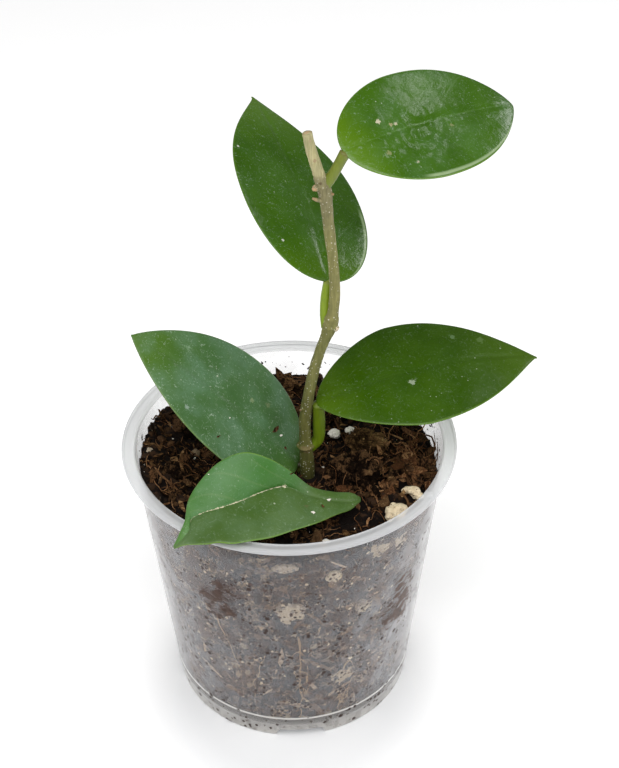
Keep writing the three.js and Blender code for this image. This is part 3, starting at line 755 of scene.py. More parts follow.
def make_contact():
    """What sits on the inside of the wall: damp patches, mud, fine threads and its cloudiness."""
    outputs = ["Pressed", "Mud", "Cloud", "Threads", "Swarm", "Warm"]
    group, given, result = new_group("Wall contact", {"Place": None}, outputs)
    place = given["Place"]
    region = window(group, clouds(group, place, 0.055, Detail=2.0), 0.42, 0.66)
    middle = clouds(group, place, 0.22, Detail=5.0, Roughness=0.6)
    pressed = times(group, window(group, middle, 0.44, 0.6), times(group, region, 0.8, 0.2))
    flat = vectors(group, "MULTIPLY", place, (1.0, 1.0, 1.7))
    torn = clouds(group, flat, 0.20, Detail=9.0, Roughness=0.76)
    level = times(group, spots(group, place, SMEARS, 0.3), 0.15, torn)
    threads = 0.0
    for scale, width in ((0.16, 0.012), (0.34, 0.022)):
        line = off(group, clouds(group, place, scale, Detail=2.0, Distortion=0.8))
        threads = larger(group, threads, window(group, line, width * 0.4, width, 1.0, 0.0))
    moved = vectors(group, "ADD", place, (50.0, 9.0, 0.0))
    warm = clouds(group, moved, 0.10, Detail=7.0, Roughness=0.68)
    return give(
        group,
        result,
        Pressed=pressed,
        Mud=window(group, level, 0.625, 0.640),
        Cloud=middle,
        Threads=times(group, threads, window(group, middle, 0.52, 0.60)),
        Swarm=window(group, middle, 0.44, 0.50, 0.05, 1.0),
        Warm=window(group, warm, 0.46, 0.58),
    )


contact = make_contact()


# %% The plastic, plain and stained
FLANGE_STARTS = (92.9, 93.5)
MIX_ENDS = (80.0, 85.0)
FOOT_ENDS = (8.8, 9.4)
SKIRT_ENDS = (5.6, 6.2)


def make_plastic(name, stained):
    """Milky plastic. The stained one is for the inside of the wall, up to the top of the mix."""
    sheen = 0.1 if stained else 0.16
    finish, tree, sockets, place = new_finish(name, Roughness=0.3, IOR=1.49, Specular_IOR_Level=sheen)
    touch = use(tree, contact, Place=place)
    height = part_of(tree, place, 2)
    flange = window(tree, height, *FLANGE_STARTS)
    foot = window(tree, height, *FOOT_ENDS, 1.0, 0.0)
    below = window(tree, height, *MIX_ENDS, 1.0, 0.0)
    ring = times(tree, window(tree, height, 8.5, 8.8), window(tree, height, 9.5, 9.8, 1.0, 0.0))
    bright_lines = larger(tree, ring, window(tree, height, 0.2, 0.5, 1.0, 0.0))
    edge_on = sums(tree, "POWER", put(tree, "LayerWeight", {"Blend": 0.5}).outputs["Facing"], 2.1)
    cloudy = clouds(tree, place, 0.5, Detail=4.0)
    runs = use(tree, streaks, Place=place, Width=3.0, Stretch=(1, 1, 3), Warp=1.0)["Mask"]
    # Painted shade: the foot is darker towards its top, where the hollow under the pot's floor lies in
    # shadow, with darker vertical streaks.
    foot_painted_shade = blend(tree, window(tree, height, 3.0, 8.0), rgb(0.66, 0.63, 0.58), rgb(0.19, 0.165, 0.14))
    foot_painted_shade = blend(tree, window(tree, runs, 0.35, 0.75, 0.0, 0.45), foot_painted_shade, rgb(0.15, 0.12, 0.09))
    milk = blend(tree, cloudy, rgb(0.38, 0.39, 0.42), rgb(0.58, 0.575, 0.59))
    color = layers(
        tree,
        milk,
        [
            (flange, rgb(0.76, 0.765, 0.78)),
            (foot, foot_painted_shade),
            (bright_lines, rgb(0.78, 0.76, 0.72)),
            (edge_on, rgb(0.88, 0.88, 0.89)),
        ],
    )
    fine_dots = use(tree, specks, Place=place, Spacing=2.2, Size=0.66, Share=0.80)
    big_dots = use(tree, specks, Place=place, Spacing=4.6, Size=0.95, Share=0.45)
    dots = larger(tree, times(tree, fine_dots["Mask"], touch["Swarm"]), big_dots["Mask"])
    mud = times(tree, touch["Mud"], below)
    mud_brown = blend(tree, cloudy, rgb(0.030, 0.013, 0.008), rgb(0.120, 0.062, 0.042))
    if stained:
        tiny_dots = use(tree, specks, Place=place, Spacing=1.3, Size=0.42, Share=0.80)["Mask"]
        pale_dots = use(tree, specks, Place=place, Spacing=3.4, Size=0.60, Share=0.30)["Mask"]
        pale_dots = times(tree, pale_dots, below)
        threads = times(tree, touch["Threads"], below)
        crust = spots(tree, place, CRUSTS, 1.0)
        dots = times(tree, larger(tree, dots, times(tree, tiny_dots, crust)), below)
        dot_brown = blend(tree, fine_dots["Tone"], rgb(0.006, 0.002, 0.001), rgb(0.070, 0.024, 0.008))
        stains = [
            (times(tree, touch["Warm"], 0.85), rgb(0.33, 0.24, 0.20)),
            (threads, rgb(0.50, 0.38, 0.26)),
            (pale_dots, rgb(0.62, 0.50, 0.36)),
            (crust, blend(tree, cloudy, rgb(0.36, 0.28, 0.20), rgb(0.66, 0.58, 0.47))),
            (mud, mud_brown),
            (dots, dot_brown),
        ]
        haze = times(tree, touch["Cloud"], 0.15, 0.045)
        haze = times(tree, touch["Pressed"], -0.09, haze)
        haze = times(tree, haze, window(tree, height, 84.0, 90.0, 1.0, 0.4))
        thick = [(edge_on, 0.50), (touch["Warm"], 0.06), (pale_dots, 0.55), (threads, 0.55), (crust, 0.55)]
        thick += [(mud, 0.72), (dots, 0.90)]
    else:
        dots = times(tree, dots, below)
        stains = [(mud, mud_brown), (dots, rgb(0.026, 0.009, 0.004))]
        skirt = window(tree, height, *SKIRT_ENDS, 1.0, 0.0)
        haze = times(tree, touch["Cloud"], 0.03, 0.022)
        thick = [(edge_on, 0.48), (flange, 0.40), (foot, 0.14), (skirt, 0.14), (bright_lines, 0.55)]
        thick += [(spots(tree, place, [row], 1.0), 0.13) for row in PALER_PLACES]
        thick += [(mud, 0.60), (dots, 0.90)]
    color = layers(tree, color, stains)
    haze = piled(tree, haze, thick)
    tree.links.new(color, sockets["Base Color"])
    tree.links.new(sums(tree, "MINIMUM", haze, 0.95), sockets["Alpha"])
    relief(tree, sockets, cloudy, 0.03)
    return finish


make_pot([make_plastic("milky_plastic", False), make_plastic("stained_plastic", True)])

# %% [markdown]
# ## The potting mix
#
# The mix is peat, coir and bark crumbs. Its bed follows the CAD solid: the same seeded hummocks,
# climbing to the wall on one side. The fine mesh wraps a square grid onto the round bed, so its
# faces stay about the same size everywhere, and raises two sizes of crumbs on it. The side is
# pushed inwards between the crumbs that touch the wall, since those gaps show through the pot.

# %% Height of the bed
SOIL_LEVEL = 85.2
SOIL_BOTTOM = 6.3


def part_source_random(seed):
    """The number generator of the part's source, so that both have the same hummocks."""
    whole = 0xFFFFFFFF
    state = seed

    def draw():
        """The next number between 0 and 1."""
        nonlocal state
        state = (state + 0x6D2B79F5) & whole
        t = ((state ^ (state >> 15)) * (1 | state)) & whole
        t = ((t + (t ^ (t >> 7)) * (61 | t)) & whole) ^ t
        return (t ^ (t >> 14)) / (whole + 1)

    return draw


draw = part_source_random(5)
HUMMOCKS = [
    ((draw() * 2 - 1) * 46, (draw() * 2 - 1) * 46, (draw() - 0.45) * 3.2, 3.5 + draw() * 4) for _ in range(42)
]


def under_leaf(x, y):
    """1 in the hollow under the bent leaf, and 0 away from it."""
    return 1 - fade(np.hypot(x - 18, y + 25), 7, 14)


def soil_height(x, y):
    """Height of the bed without its crumbs, as in the CAD solid."""
    reach = np.hypot(x, y)
    uphill = np.cos(np.arctan2(y, x) - math.radians(200))
    height = SOIL_LEVEL + fade(reach, 24, 47) * (1.6 + 3 * uphill)
    for hx, hy, rise, spread in HUMMOCKS:
        height = height + rise * np.exp(-((x - hx) ** 2 + (y - hy) ** 2) / spread**2)
    return np.minimum(height, 91 - 5.2 * under_leaf(x, y))


print("bed heights:", [round(float(soil_height(x, 0.0)), 1) for x in (-45.0, 0.0, 45.0)])


# %% Wrap the bed
WALL_GRAINS = [f"pumice_wall_{number}" for number in range(1, 5)]
PUMICE_PLACES = [(32, -25.5), (38.2, -17.2)]


def surface_height(x, y):
    """Height of the bed with its crumbs, and the crumbs' tones."""
    flat = np.stack([x, y, np.zeros_like(x)], axis=1)
    large, large_tone = crumbs(flat, 5.2, 1)
    small, small_tone = crumbs(flat, 2.1, 2)
    rough = bumps(flat, 1.3, 3)
    height = soil_height(x, y) - 1.5 + 1.9 * large + 0.9 * small + 0.22 * rough
    for px, py in PUMICE_PLACES:
        height = height - 2.0 * (1 - fade(np.hypot(x - px, y - py), 3.0, 6.5))
    tone = 0.45 * large_tone + 0.55 * small_tone
    return np.minimum(height, 91.5 - 5.4 * under_leaf(x, y)), tone


def pull_in(points):
    """How far the side falls back from the wall, and its crumbs' tones."""
    large, large_tone = crumbs(points, 6.0, 5)
    small, small_tone = crumbs(points, 2.4, 6)
    depth = np.clip(1.5 * (1 - large) + 0.7 * (1 - small) - 0.55, 0, 2.2)
    x, y, z = points.T
    over_root = np.exp(-(((x - 4) / 3.0) ** 2)) * fade(-z, -50, -44) * (y < 0)
    depth *= 1 - 0.85 * over_root
    for node in WALL_GRAINS:
        low, high = box_mm(node)
        middle, half = (low + high) / 2, (high - low) / 2
        share = np.hypot((x - middle[0]) / half[0], (z - middle[2]) / half[2])
        depth = np.maximum(depth, 3.4 * fade(-share, -1.25, -0.85) * (y < 0))
    return depth, 0.45 * large_tone + 0.55 * small_tone


BED_STEPS = 206
BED_ROWS = 56
BED_REACH = 47.2


def make_bed(finish):
    """A square grid wrapped onto the round bed, its side down the wall, and its bottom."""
    steps = np.linspace(-1, 1, BED_STEPS + 1)
    u, v = (grid.ravel() for grid in np.meshgrid(steps, steps, indexing="ij"))
    a, b = u * np.sqrt(1 - v * v / 2), v * np.sqrt(1 - u * u / 2)
    turn = np.arctan2(b, a)
    edge = BED_REACH * np.stack([np.cos(turn), np.sin(turn)], axis=1)
    edge_height, _ = surface_height(edge[:, 0], edge[:, 1])
    edge_radius = wall_inside(edge_height) - 0.4
    x, y = a * edge_radius, b * edge_radius
    z, tone = surface_height(x, y)
    top = np.stack([x, y, z], axis=1)
    index = np.arange((BED_STEPS + 1) ** 2).reshape(BED_STEPS + 1, BED_STEPS + 1)
    faces = quads(index).tolist()
    loop = np.concatenate([index[:-1, 0], index[-1, :-1], index[:0:-1, -1], index[0, :0:-1]])
    sides = len(loop)
    angle = np.arctan2(top[loop, 1], top[loop, 0])
    points, tones = [top], [tone]
    for row in range(1, BED_ROWS + 1):
        share = row / BED_ROWS
        height = top[loop, 2] * (1 - share) + SOIL_BOTTOM * share
        wall = wall_inside(height) - 0.35
        on_wall = np.stack([wall * np.cos(angle), wall * np.sin(angle), height], axis=1)
        depth, side_tone = pull_in(on_wall)
        depth *= fade(share, 0, 0.02) * fade(height, 7.5, 12.0)
        radius = wall - depth - (1.2 if row == BED_ROWS else 0)
        points.append(np.stack([radius * np.cos(angle), radius * np.sin(angle), height], axis=1))
        tones.append(side_tone)
    start = len(top)
    ring = [loop] + [np.arange(start + row * sides, start + (row + 1) * sides) for row in range(BED_ROWS)]
    for upper, lower in zip(ring[:-1], ring[1:]):
        following = np.roll(upper, -1), np.roll(lower, -1)
        faces += np.stack([upper, lower, following[1], following[0]], axis=1).tolist()
    points.append(np.array([[0, 0, SOIL_BOTTOM]]))
    tones.append(np.array([0.5]))
    centre = start + BED_ROWS * sides
    faces += [(centre, int(ring[-1][(j + 1) % sides]), int(ring[-1][j])) for j in range(sides)]
    points, tone = np.concatenate(points), np.concatenate(tones)
    add_piece("mix_bed", points, faces, [finish], ["potting_mix"], tone=tone)


# %% [markdown]
# ## Peat, coir and bark
#
# Damp peat is almost black, and each crumb differs a little, from black to red-brown. A tone is
# stored for each crumb of the mesh, and the shader mixes it with fine noise, so colour and
# shape agree. The same finish, with other colours, serves lumps, crumbs, splinters and fibres.

# %% Earth finish
def make_earth(name, dark, mid, pale, grain, fibre=(1, 1, 1), pale_share=0.8, rough=0.9):
    """A crumbly finish of three tones. grain is the width of its fine relief in mm."""
    finish, tree, sockets, place = new_finish(name, Roughness=rough, Specular_IOR_Level=0.08)
    tone = put(tree, "Attribute", attribute_name="tone").outputs["Fac"]
    cloud = use(tree, mottle, Place=place, Size=grain * 5, Contrast=0.8)["Mask"]
    fine = use(tree, streaks, Place=place, Width=grain, Stretch=fibre, Warp=2.0)["Mask"]
    bits = use(tree, specks, Place=place, Spacing=2.6, Size=0.35, Share=0.12)["Mask"]
    mixed = times(tree, fine, 0.35, times(tree, tone, 0.5, times(tree, cloud, 0.3)))
    body = blend(tree, window(tree, mixed, 0.38, 0.72), rgb(*dark), rgb(*mid))
    is_pale = window(tree, mixed, pale_share, pale_share + 0.25)
    body = layers(tree, body, [(is_pale, rgb(*pale)), (times(tree, bits, 0.8), rgb(*pale))])
    tree.links.new(body, sockets["Base Color"])
    relief(tree, sockets, fine, 0.25)
    return finish


def make_bed_finish():
    """The mix itself, paler and browner where it shows through the wall."""
    finish, tree, sockets, place = new_finish("potting_mix", Roughness=0.92, Specular_IOR_Level=0.2)
    tone = put(tree, "Attribute", attribute_name="tone").outputs["Fac"]
    cloud = use(tree, mottle, Place=place, Size=3.0, Contrast=0.8)["Mask"]
    fine = clouds(tree, place, 2.2, Detail=6.0, Roughness=0.7)
    mixed = times(tree, fine, 0.5, times(tree, tone, 0.5, times(tree, cloud, 0.25)))
    top = blend(tree, window(tree, mixed, 0.45, 0.85), rgb(0.005, 0.002, 0.001), rgb(0.046, 0.022, 0.010))
    top = blend(tree, window(tree, mixed, 0.86, 1.05), top, rgb(0.17, 0.085, 0.038))
    side = blend(tree, window(tree, mixed, 0.40, 1.00), rgb(0.022, 0.020, 0.022), rgb(0.14, 0.105, 0.082))
    warped = put(tree, "TexNoise", {"Vector": place, "Scale": 0.5, "Detail": 3.0}).outputs["Color"]
    bent = vectors(tree, "MULTIPLY_ADD", warped, (3.0, 3.0, 3.0), place)
    bits = put(tree, "TexVoronoi", {"Vector": bent, "Scale": 0.50}).outputs["Color"]
    kinds = put(tree, "SeparateColor", {0: bits}).outputs
    threads = use(tree, contact, Place=place)["Threads"]
    bits_of_bark = [
        (window(tree, kinds[0], 0.60, 0.66, 0.0, 0.8), rgb(0.065, 0.034, 0.020)),
        (window(tree, kinds[1], 0.91, 0.94, 0.0, 0.6), rgb(0.28, 0.19, 0.13)),
        (window(tree, kinds[2], 0.97, 0.98, 0.0, 0.7), rgb(0.50, 0.40, 0.28)),
        (times(tree, threads, 0.9), rgb(0.50, 0.36, 0.22)),
    ]
    side = layers(tree, side, bits_of_bark)
    facing = part_of(tree, put(tree, "NewGeometry").outputs["Normal"], 2)
    away = vectors(tree, "LENGTH", vectors(tree, "MULTIPLY", place, (1, 1, 0)))
    wall = times(tree, part_of(tree, place, 2), WALL_TAPER, wall_inside(0) - 3.2)
    is_side = window(tree, sums(tree, "SUBTRACT", away, wall), 0.0, 0.6)
    is_side = times(tree, is_side, window(tree, facing, 0.35, 0.75, 1.0, 0.0))
    tree.links.new(blend(tree, is_side, top, side), sockets["Base Color"])
    relief(tree, sockets, fine, 0.5)
    return finish


EARTHS = {
    "damp_peat": ((0.006, 0.0022, 0.0006), (0.070, 0.036, 0.016), (0.18, 0.10, 0.048), 0.35, (1, 1, 4)),
    "fibrous_peat": ((0.014, 0.006, 0.002), (0.120, 0.060, 0.024), (0.30, 0.18, 0.08), 0.4, (4, 1, 1), 0.7),
    "matted_peat": ((0.006, 0.0024, 0.0008), (0.10, 0.052, 0.023), (0.23, 0.14, 0.066), 0.4, (1, 1, 3)),
    "golden_peat": ((0.035, 0.018, 0.007), (0.17, 0.095, 0.038), (0.36, 0.23, 0.10), 0.4, (3, 1, 1)),
    "bark": ((0.010, 0.004, 0.0015), (0.135, 0.065, 0.029), (0.28, 0.16, 0.08), 0.45, (1, 8, 1)),
    "coir_fibre": ((0.075, 0.030, 0.012), (0.24, 0.105, 0.042), (0.45, 0.25, 0.12), 0.3, (1, 1, 1), 0.6),
    "dry_fibre": ((0.16, 0.095, 0.055), (0.34, 0.23, 0.14), (0.58, 0.45, 0.32), 0.4, (1, 1, 1), 0.6),
}
make_bed(make_bed_finish())
peat, brown_peat, matted_peat, golden_peat, bark, coir, dry_fibre = (
    make_earth(name, *row) for name, row in EARTHS.items()
)
print("finishes of earth:", len(EARTHS))

# %% [markdown]
# ## Lumps, splinters and grains
#
# Each lump of peat, splinter of bark and grain of pumice is already a plain solid of the right
# size. A copy of its mesh is subdivided, which rounds the facets, and then pushed in and out
# along its normals by noise. Stretching the noise along one axis turns bumps into fibres, which
# is what sets wood and peat apart from stone.

# %% Weather a CAD solid
def weathered(node, levels, plain_levels=0):
    """The points in mm, normals and faces of a CAD node, subdivided and still in its place."""
    copy = bpy.data.objects.new("copy", frame["nodes"][node].data.copy())
    bpy.context.scene.collection.objects.link(copy)
    weld = copy.modifiers.new("weld", "WELD")
    weld.merge_threshold = 0.02 * MM
    for number, kind in ((plain_levels, "SIMPLE"), (levels, "CATMULL_CLARK")):
        if number:
            finer = copy.modifiers.new(kind, "SUBSURF")
            finer.subdivision_type = kind
            finer.levels = number
    mesh = bpy.data.meshes.new_from_object(copy.evaluated_get(bpy.context.evaluated_depsgraph_get()))
    points, normals = read_rows(mesh.vertices), read_rows(mesh.vertices, "normal")
    faces = [tuple(face.vertices) for face in mesh.polygons]
    bpy.data.objects.remove(copy)
    bpy.data.meshes.remove(mesh)
    return (points - POT_AXIS) / MM, normals, faces


def turned(points, degrees):
    """Points turned round the upright axis, so that x runs along a splinter."""
    angle = math.radians(degrees)
    x = points[:, 0] * math.cos(angle) - points[:, 1] * math.sin(angle)
    y = points[:, 0] * math.sin(angle) + points[:, 1] * math.cos(angle)
    return np.stack([x, y, points[:, 2]], axis=1)


# %% Peat lumps
def make_lump(node, finish, seed, depth):
    """A wad of matted peat: folded fibres over an uneven ball."""
    points, normals, faces = weathered(node, 3)
    matted = points + 1.8 * np.stack([bumps(points, 4.0, seed + axis, 2) for axis in range(3)], axis=1)
    ridges = 1 - np.abs(bumps(matted * (0.45, 1.2, 1.7), 1.5, seed + 7, 3))
    flakes, flake_tone = crumbs(matted * (0.7, 0.7, 1.3), 3.2, seed + 9)
    cracks = fade(-np.abs(bumps(matted, 5.0, seed + 13, 2)), -0.14, -0.02)
    height = 0.7 * bumps(points, 4.5, seed, 3) + 1.1 * (ridges - 0.7) + 1.3 * (flakes - 0.6) - 1.3 * cracks
    moved = points + normals * (height * depth)[:, None]
    # The tone is partly painted light and shade: paler on ridges and raised flakes, darker in the cracks,
    # with a random tone for each flake.
    tone = np.clip(0.05 + 0.9 * ridges * flakes + 0.35 * flake_tone - 0.5 * cracks, 0, 1)
    add_piece("wad_" + node, moved, faces, [finish], [node], tone=tone)


LUMPS = {
    "peat_lump_large": (matted_peat, 3, 1.0),
    "peat_lump_brown": (golden_peat, 5, 0.9),
    "peat_lump_back": (brown_peat, 8, 0.9),
    "peat_lump_left": (matted_peat, 11, 0.9),
}
for node, row in LUMPS.items():
    make_lump(node, *row)

# %% Bark splinters
CHIP_TURNS = {"bark_chip_right": -75, "bark_chip_inner": -68, "bark_chip_back": 15, "bark_chip_left": 125}
for number, (node, degrees) in enumerate(CHIP_TURNS.items()):
    points, normals, faces = weathered(node, 2, plain_levels=2)
    along = turned(points, -degrees)
    grain = bumps(along * (0.12, 1.0, 1.0), 0.7, 20 + number, 3)
    ragged = bumps(along, 2.5, 30 + number, 3)
    moved = points + normals * (0.28 * grain + 0.35 * ragged)[:, None]
    tone = np.clip(0.5 + 0.6 * grain, 0, 1)
    name = node.replace("bark_chip", "splinter")
    add_piece(name, moved, faces, [bark], [node], tone=tone)

# %% [markdown]
# ## Pumice and perlite
#
# Pumice is cream, with brown dirt in its pores. Perlite is white and squeaky, like tiny popcorn.
# Both are stone froth, so their skin is pitted by cells: a Voronoi distance pushed inwards.


# %% Stone froth finish
def make_froth(name, light, shade, dirt, dirt_share):
    """Pale stone froth with pores and scattered dirt."""
    finish, tree, sockets, place = new_finish(name, Roughness=0.85, Specular_IOR_Level=0.3)
    cloud = use(tree, mottle, Place=place, Size=1.6, Contrast=0.9)["Mask"]
    dots = use(tree, specks, Place=place, Spacing=0.9, Size=0.24, Share=dirt_share)["Mask"]
    body = layers(tree, rgb(*shade), [(cloud, rgb(*light)), (times(tree, dots, 0.85), rgb(*dirt))])
    tree.links.new(body, sockets["Base Color"])
    pores = put(tree, "TexVoronoi", {"Vector": place, "Scale": 1.9}).outputs["Distance"]
    relief(tree, sockets, pores, 0.3)
    return finish


FROTHS = {
    "pumice": ((0.92, 0.80, 0.58), (0.68, 0.52, 0.32), (0.16, 0.08, 0.035), 0.40),
    "perlite": ((0.97, 0.93, 0.86), (0.88, 0.81, 0.70), (0.30, 0.22, 0.15), 0.15),
    "crusted_pumice": ((0.66, 0.56, 0.43), (0.40, 0.31, 0.22), (0.06, 0.028, 0.014), 0.9),
    "soiled_grain": ((0.34, 0.25, 0.16), (0.13, 0.08, 0.045), (0.02, 0.01, 0.005), 0.7),
}
pumice, perlite, crusted, soiled = (make_froth(name, *row) for name, row in FROTHS.items())
print("finishes of stone:", len(FROTHS))


# %% Grains
def make_grain(node, finish, seed, depth=0.35, knobs=0.0, facets=False):
    """A pitted grain. knobs is how far it bulges into lobes, and facets keeps its flat sides."""
    points, normals, faces = weathered(node, 0, plain_levels=3) if facets else weathered(node, 3)
    pits, _ = crumbs(points, 0.9, seed)
    height = depth * (pits - 0.5) + 0.35 * depth * bumps(points, 1.2, seed + 3, 2)
    height += knobs * bumps(points, 3.0, seed + 5, 2)
    add_piece("grain_" + node, points + normals * height[:, None], faces, [finish], [node])


for seed, node in enumerate(["pumice_front", "pumice_side"]):
    make_grain(node, pumice, 40 + seed, knobs=0.9)
make_grain("pumice_left", crusted, 42, knobs=0.6)
for seed in range(1, 6):
    make_grain(f"perlite_{seed}", soiled if seed == 4 else perlite, 50 + seed, 0.25, facets=True)
for seed in range(1, 5):
    make_grain(f"pumice_wall_{seed}", crusted if seed != 2 else pumice, 60 + seed, 0.4, knobs=0.2)

# %% [markdown]
# ## Loose crumbs, flakes and fibres
#
# A height field has no overhangs, so it never looks loose. Thousands of small angular shards,
# flat flakes and curled fibres lie on it. Each shard is the convex hull of a few random points,
# left unsmoothed, because torn peat and bark break with sharp edges. A ray dropped on the bed,
# its lumps and splinters finds where each one lands. They are joined into a few meshes by
# colour, with one random tone a shard.

# %% The ground to drop them on
chance = random.Random(17)


def surface_of(names):
    """One search tree, in mm, of the faces of several pieces."""
    shapes = []
    for name in names:
        mesh = bpy.data.objects[name].data
        points = (read_rows(mesh.vertices) - POT_AXIS) / MM
        shapes.append((points, [tuple(face.vertices) for face in mesh.polygons]))
    points, faces, _ = merged(shapes)
    return BVHTree.FromPolygons([Vector(p) for p in points], faces)


HEAPED = [piece.name for piece in bpy.data.objects if piece.name.startswith(("mix_bed", "wad_", "splinter_"))]
ground = surface_of(HEAPED)


def ground_at(x, y):
    """Height of the highest face under a place."""
    hit = ground.ray_cast(Vector((x, y, 130)), Vector((0, 0, -1)))[0]
    return hit.z if hit else SOIL_LEVEL


def circle_of(node, share, size_of):
    """Place and radius of a CAD node, seen from above."""
    low, high = box_mm(node)
    x, y, _ = (low + high) / 2
    return x, y, float(size_of(high[:2] - low[:2])) * share


STEM_FOOT = (5.5, -5.5, 3.6)
UNDER_LEAF = (18.0, -25.0, 5.0)
PALE_GRAINS = ["pumice_front", "pumice_side", "pumice_left"] + [f"perlite_{i}" for i in range(1, 6)]
UNCOVERED = [STEM_FOOT, UNDER_LEAF] + [circle_of(node, 0.5, max) for node in PALE_GRAINS]
LUMP_CIRCLES = [circle_of(node, 0.48, min) for node in LUMPS]
ON_LUMPS = 0.04
CRUMB_LEVEL = 88.0


def on_bed(reach_max=46.5, centre=None):
    """A random place on the open bed, clear of the stem's foot and the pale grains."""
    while True:
        if centre:
            x, y = (middle + chance.gauss(0, centre[2]) for middle in centre[:2])
        else:
            reach = reach_max * math.sqrt(chance.random())
            turn = chance.uniform(0, 2 * math.pi)
            x, y = reach * math.cos(turn), reach * math.sin(turn)
        clear = all(math.hypot(x - cx, y - cy) > radius for cx, cy, radius in UNCOVERED)
        on_lump = any(math.hypot(x - cx, y - cy) < radius for cx, cy, radius in LUMP_CIRCLES)
        clear = clear and (not on_lump or chance.random() < ON_LUMPS)
        if clear and math.hypot(x, y) < reach_max:
            return x, y


print("dropping on:", len(HEAPED), "pieces")


# %% Angular shards
def shard_shape():
    """Points and faces of one convex shard, about 1 in radius."""
    build = bmesh.new()
    for _ in range(13):
        way = Vector([chance.gauss(0, 1) for _ in range(3)]).normalized()
        build.verts.new(way * chance.uniform(0.75, 1.0))
    hull = bmesh.ops.convex_hull(build, input=build.verts)
    left_over = hull["geom_interior"] + hull["geom_unused"]
    spare = {item for item in left_over if isinstance(item, bmesh.types.BMVert)}
    bmesh.ops.delete(build, geom=list(spare), context="VERTS")
    build.verts.index_update()
    points = np.array([tuple(v.co) for v in build.verts])
    faces = [tuple(v.index for v in face.verts) for face in build.faces]
    build.free()
    return points, faces


SHARDS = [shard_shape() for _ in range(30)]


def random_turn():
    """A turn of any angle about any axis."""
    angle = chance.uniform(0, 6.3)
    axis = Vector([chance.gauss(0, 1) for _ in range(3)])
    return np.array(Matrix.Rotation(angle, 3, axis))


def leaning(steepest):
    """A turn about the upright axis, then a lean of at most so many degrees."""
    lean = math.radians(chance.uniform(-steepest, steepest))
    axis = Vector((math.cos(chance.uniform(0, 6.3)), math.sin(chance.uniform(0, 6.3)), 0))
    return np.array(Matrix.Rotation(lean, 3, axis) @ Matrix.Rotation(chance.uniform(0, 6.3), 3, "Z"))


def scatter(name, count, smallest, largest, shape, finish, pale=0.0, steepest=None, centre=None):
    """Shards dropped on the bed. shape is their length, width and thickness."""
    shapes, tones = [], []
    for _ in range(count):
        x, y = on_bed(centre=centre)
        size = smallest + (largest - smallest) * chance.random() ** 2.5
        points, faces = chance.choice(SHARDS)
        sizes = np.array([size * share * chance.uniform(0.7, 1.3) for share in shape])
        spin = random_turn() if steepest is None else leaning(steepest)
        placed = (points * sizes) @ spin.T
        lift = -placed[:, 2].min() - min(0.35 * size, 0.7) if steepest is None else 0.3
        reach = math.hypot(x, y)
        limit = wall_inside(CRUMB_LEVEL) - 0.3 - np.hypot(placed[:, 0], placed[:, 1]).max()
        x, y = (x, y) if reach < limit else (x * limit / reach, y * limit / reach)
        shapes.append((placed + (x, y, ground_at(x, y) + lift), faces))
        tones.append(chance.uniform(pale, 1.0))
    points, faces, owner = merged(shapes)
    add_piece(name, points, faces, [finish], tone=np.array(tones)[owner], soft=False)


SLIVER = (2.2, 0.8, 0.35)
RUST_PLACE = (32.0, -4.0, 10.0)
TAN_PLACE = (-36.0, -6.0, 9.0)
scatter("crumbs_clods", 90, 1.6, 3.4, (1.3, 1.0, 0.6), matted_peat)
scatter("crumbs_dark", 650, 0.4, 2.2, (1.3, 0.9, 0.5), peat)
scatter("crumbs_brown", 420, 0.35, 1.9, (1.9, 0.8, 0.35), brown_peat, 0.1)
scatter("crumbs_bark", 260, 0.9, 3.6, (2.3, 0.8, 0.20), bark, steepest=75)
scatter("crumbs_rust", 85, 0.6, 2.4, SLIVER, coir, steepest=60, centre=RUST_PLACE)
scatter("crumbs_tan", 45, 0.5, 2.0, SLIVER, brown_peat, steepest=60, centre=TAN_PLACE)
scatter("grit_white", 75, 0.2, 0.6, (1, 1, 0.9), perlite)


# %% Curled fibres
def fibre(start, length, thickness, curl, lift):
    """One fibre that wanders over the bed and may rise at its ends."""
    steps = 14
    x, y = start
    heading = chance.uniform(0, 2 * math.pi)
    bend = chance.gauss(0, curl)
    clear = chance.uniform(0.1, 0.9)
    rise = chance.uniform(-0.2, 1.0) * lift
    level = ground_at(x, y)
    path = []
    for step in range(steps):
        share = step / (steps - 1)
        bend += chance.gauss(0, curl * 0.7)
        heading += bend * length / steps
        x += math.cos(heading) * length / steps
        y += math.sin(heading) * length / steps
        limit, reach = wall_inside(CRUMB_LEVEL) - 0.6, math.hypot(x, y)
        if reach > limit:
            x, y = x * limit / reach, y * limit / reach
        level = max(ground_at(x, y), level - 0.5) if step else level
        path.append((x, y, level + clear + rise * share * share))
    taper = 1 - 0.6 * np.linspace(-1, 1, steps) ** 4
    rings = 22
    taper = np.interp(np.linspace(0, 1, rings), np.linspace(0, 1, steps), taper)
    return tube(smooth_line(path, rings), thickness * taper, 5)


def lay_fibres(name, kinds, finish):
    """kinds holds rows of count, length, thickness, curl, lift and a centre or None."""
    shapes, tones = [], []
    for count, length, thickness, curl, lift, centre in kinds:
        for _ in range(count):
            span = length * chance.uniform(0.35, 1.5)
            shapes.append(fibre(on_bed(45, centre), span, thickness * chance.uniform(0.6, 1.3), curl, lift))
            tones.append(chance.random())
    points, faces, owner = merged(shapes)
    add_piece(name, points, faces, [finish], tone=np.array(tones)[owner])


RIGHT_TANGLE = (40.0, 3.0, 4.5)
LEFT_TANGLE = (-38.0, -3.0, 6.0)
lay_fibres(
    "fibres_fine",
    [
        (230, 8.0, 0.11, 0.14, 2.2, None),
        (60, 8.0, 0.19, 0.18, 5.0, RIGHT_TANGLE),
        (14, 8.0, 0.14, 0.14, 3.5, LEFT_TANGLE),
    ],
    coir,
)
lay_fibres("fibres_coarse", [(70, 11.0, 0.30, 0.07, 2.5, None)], bark)

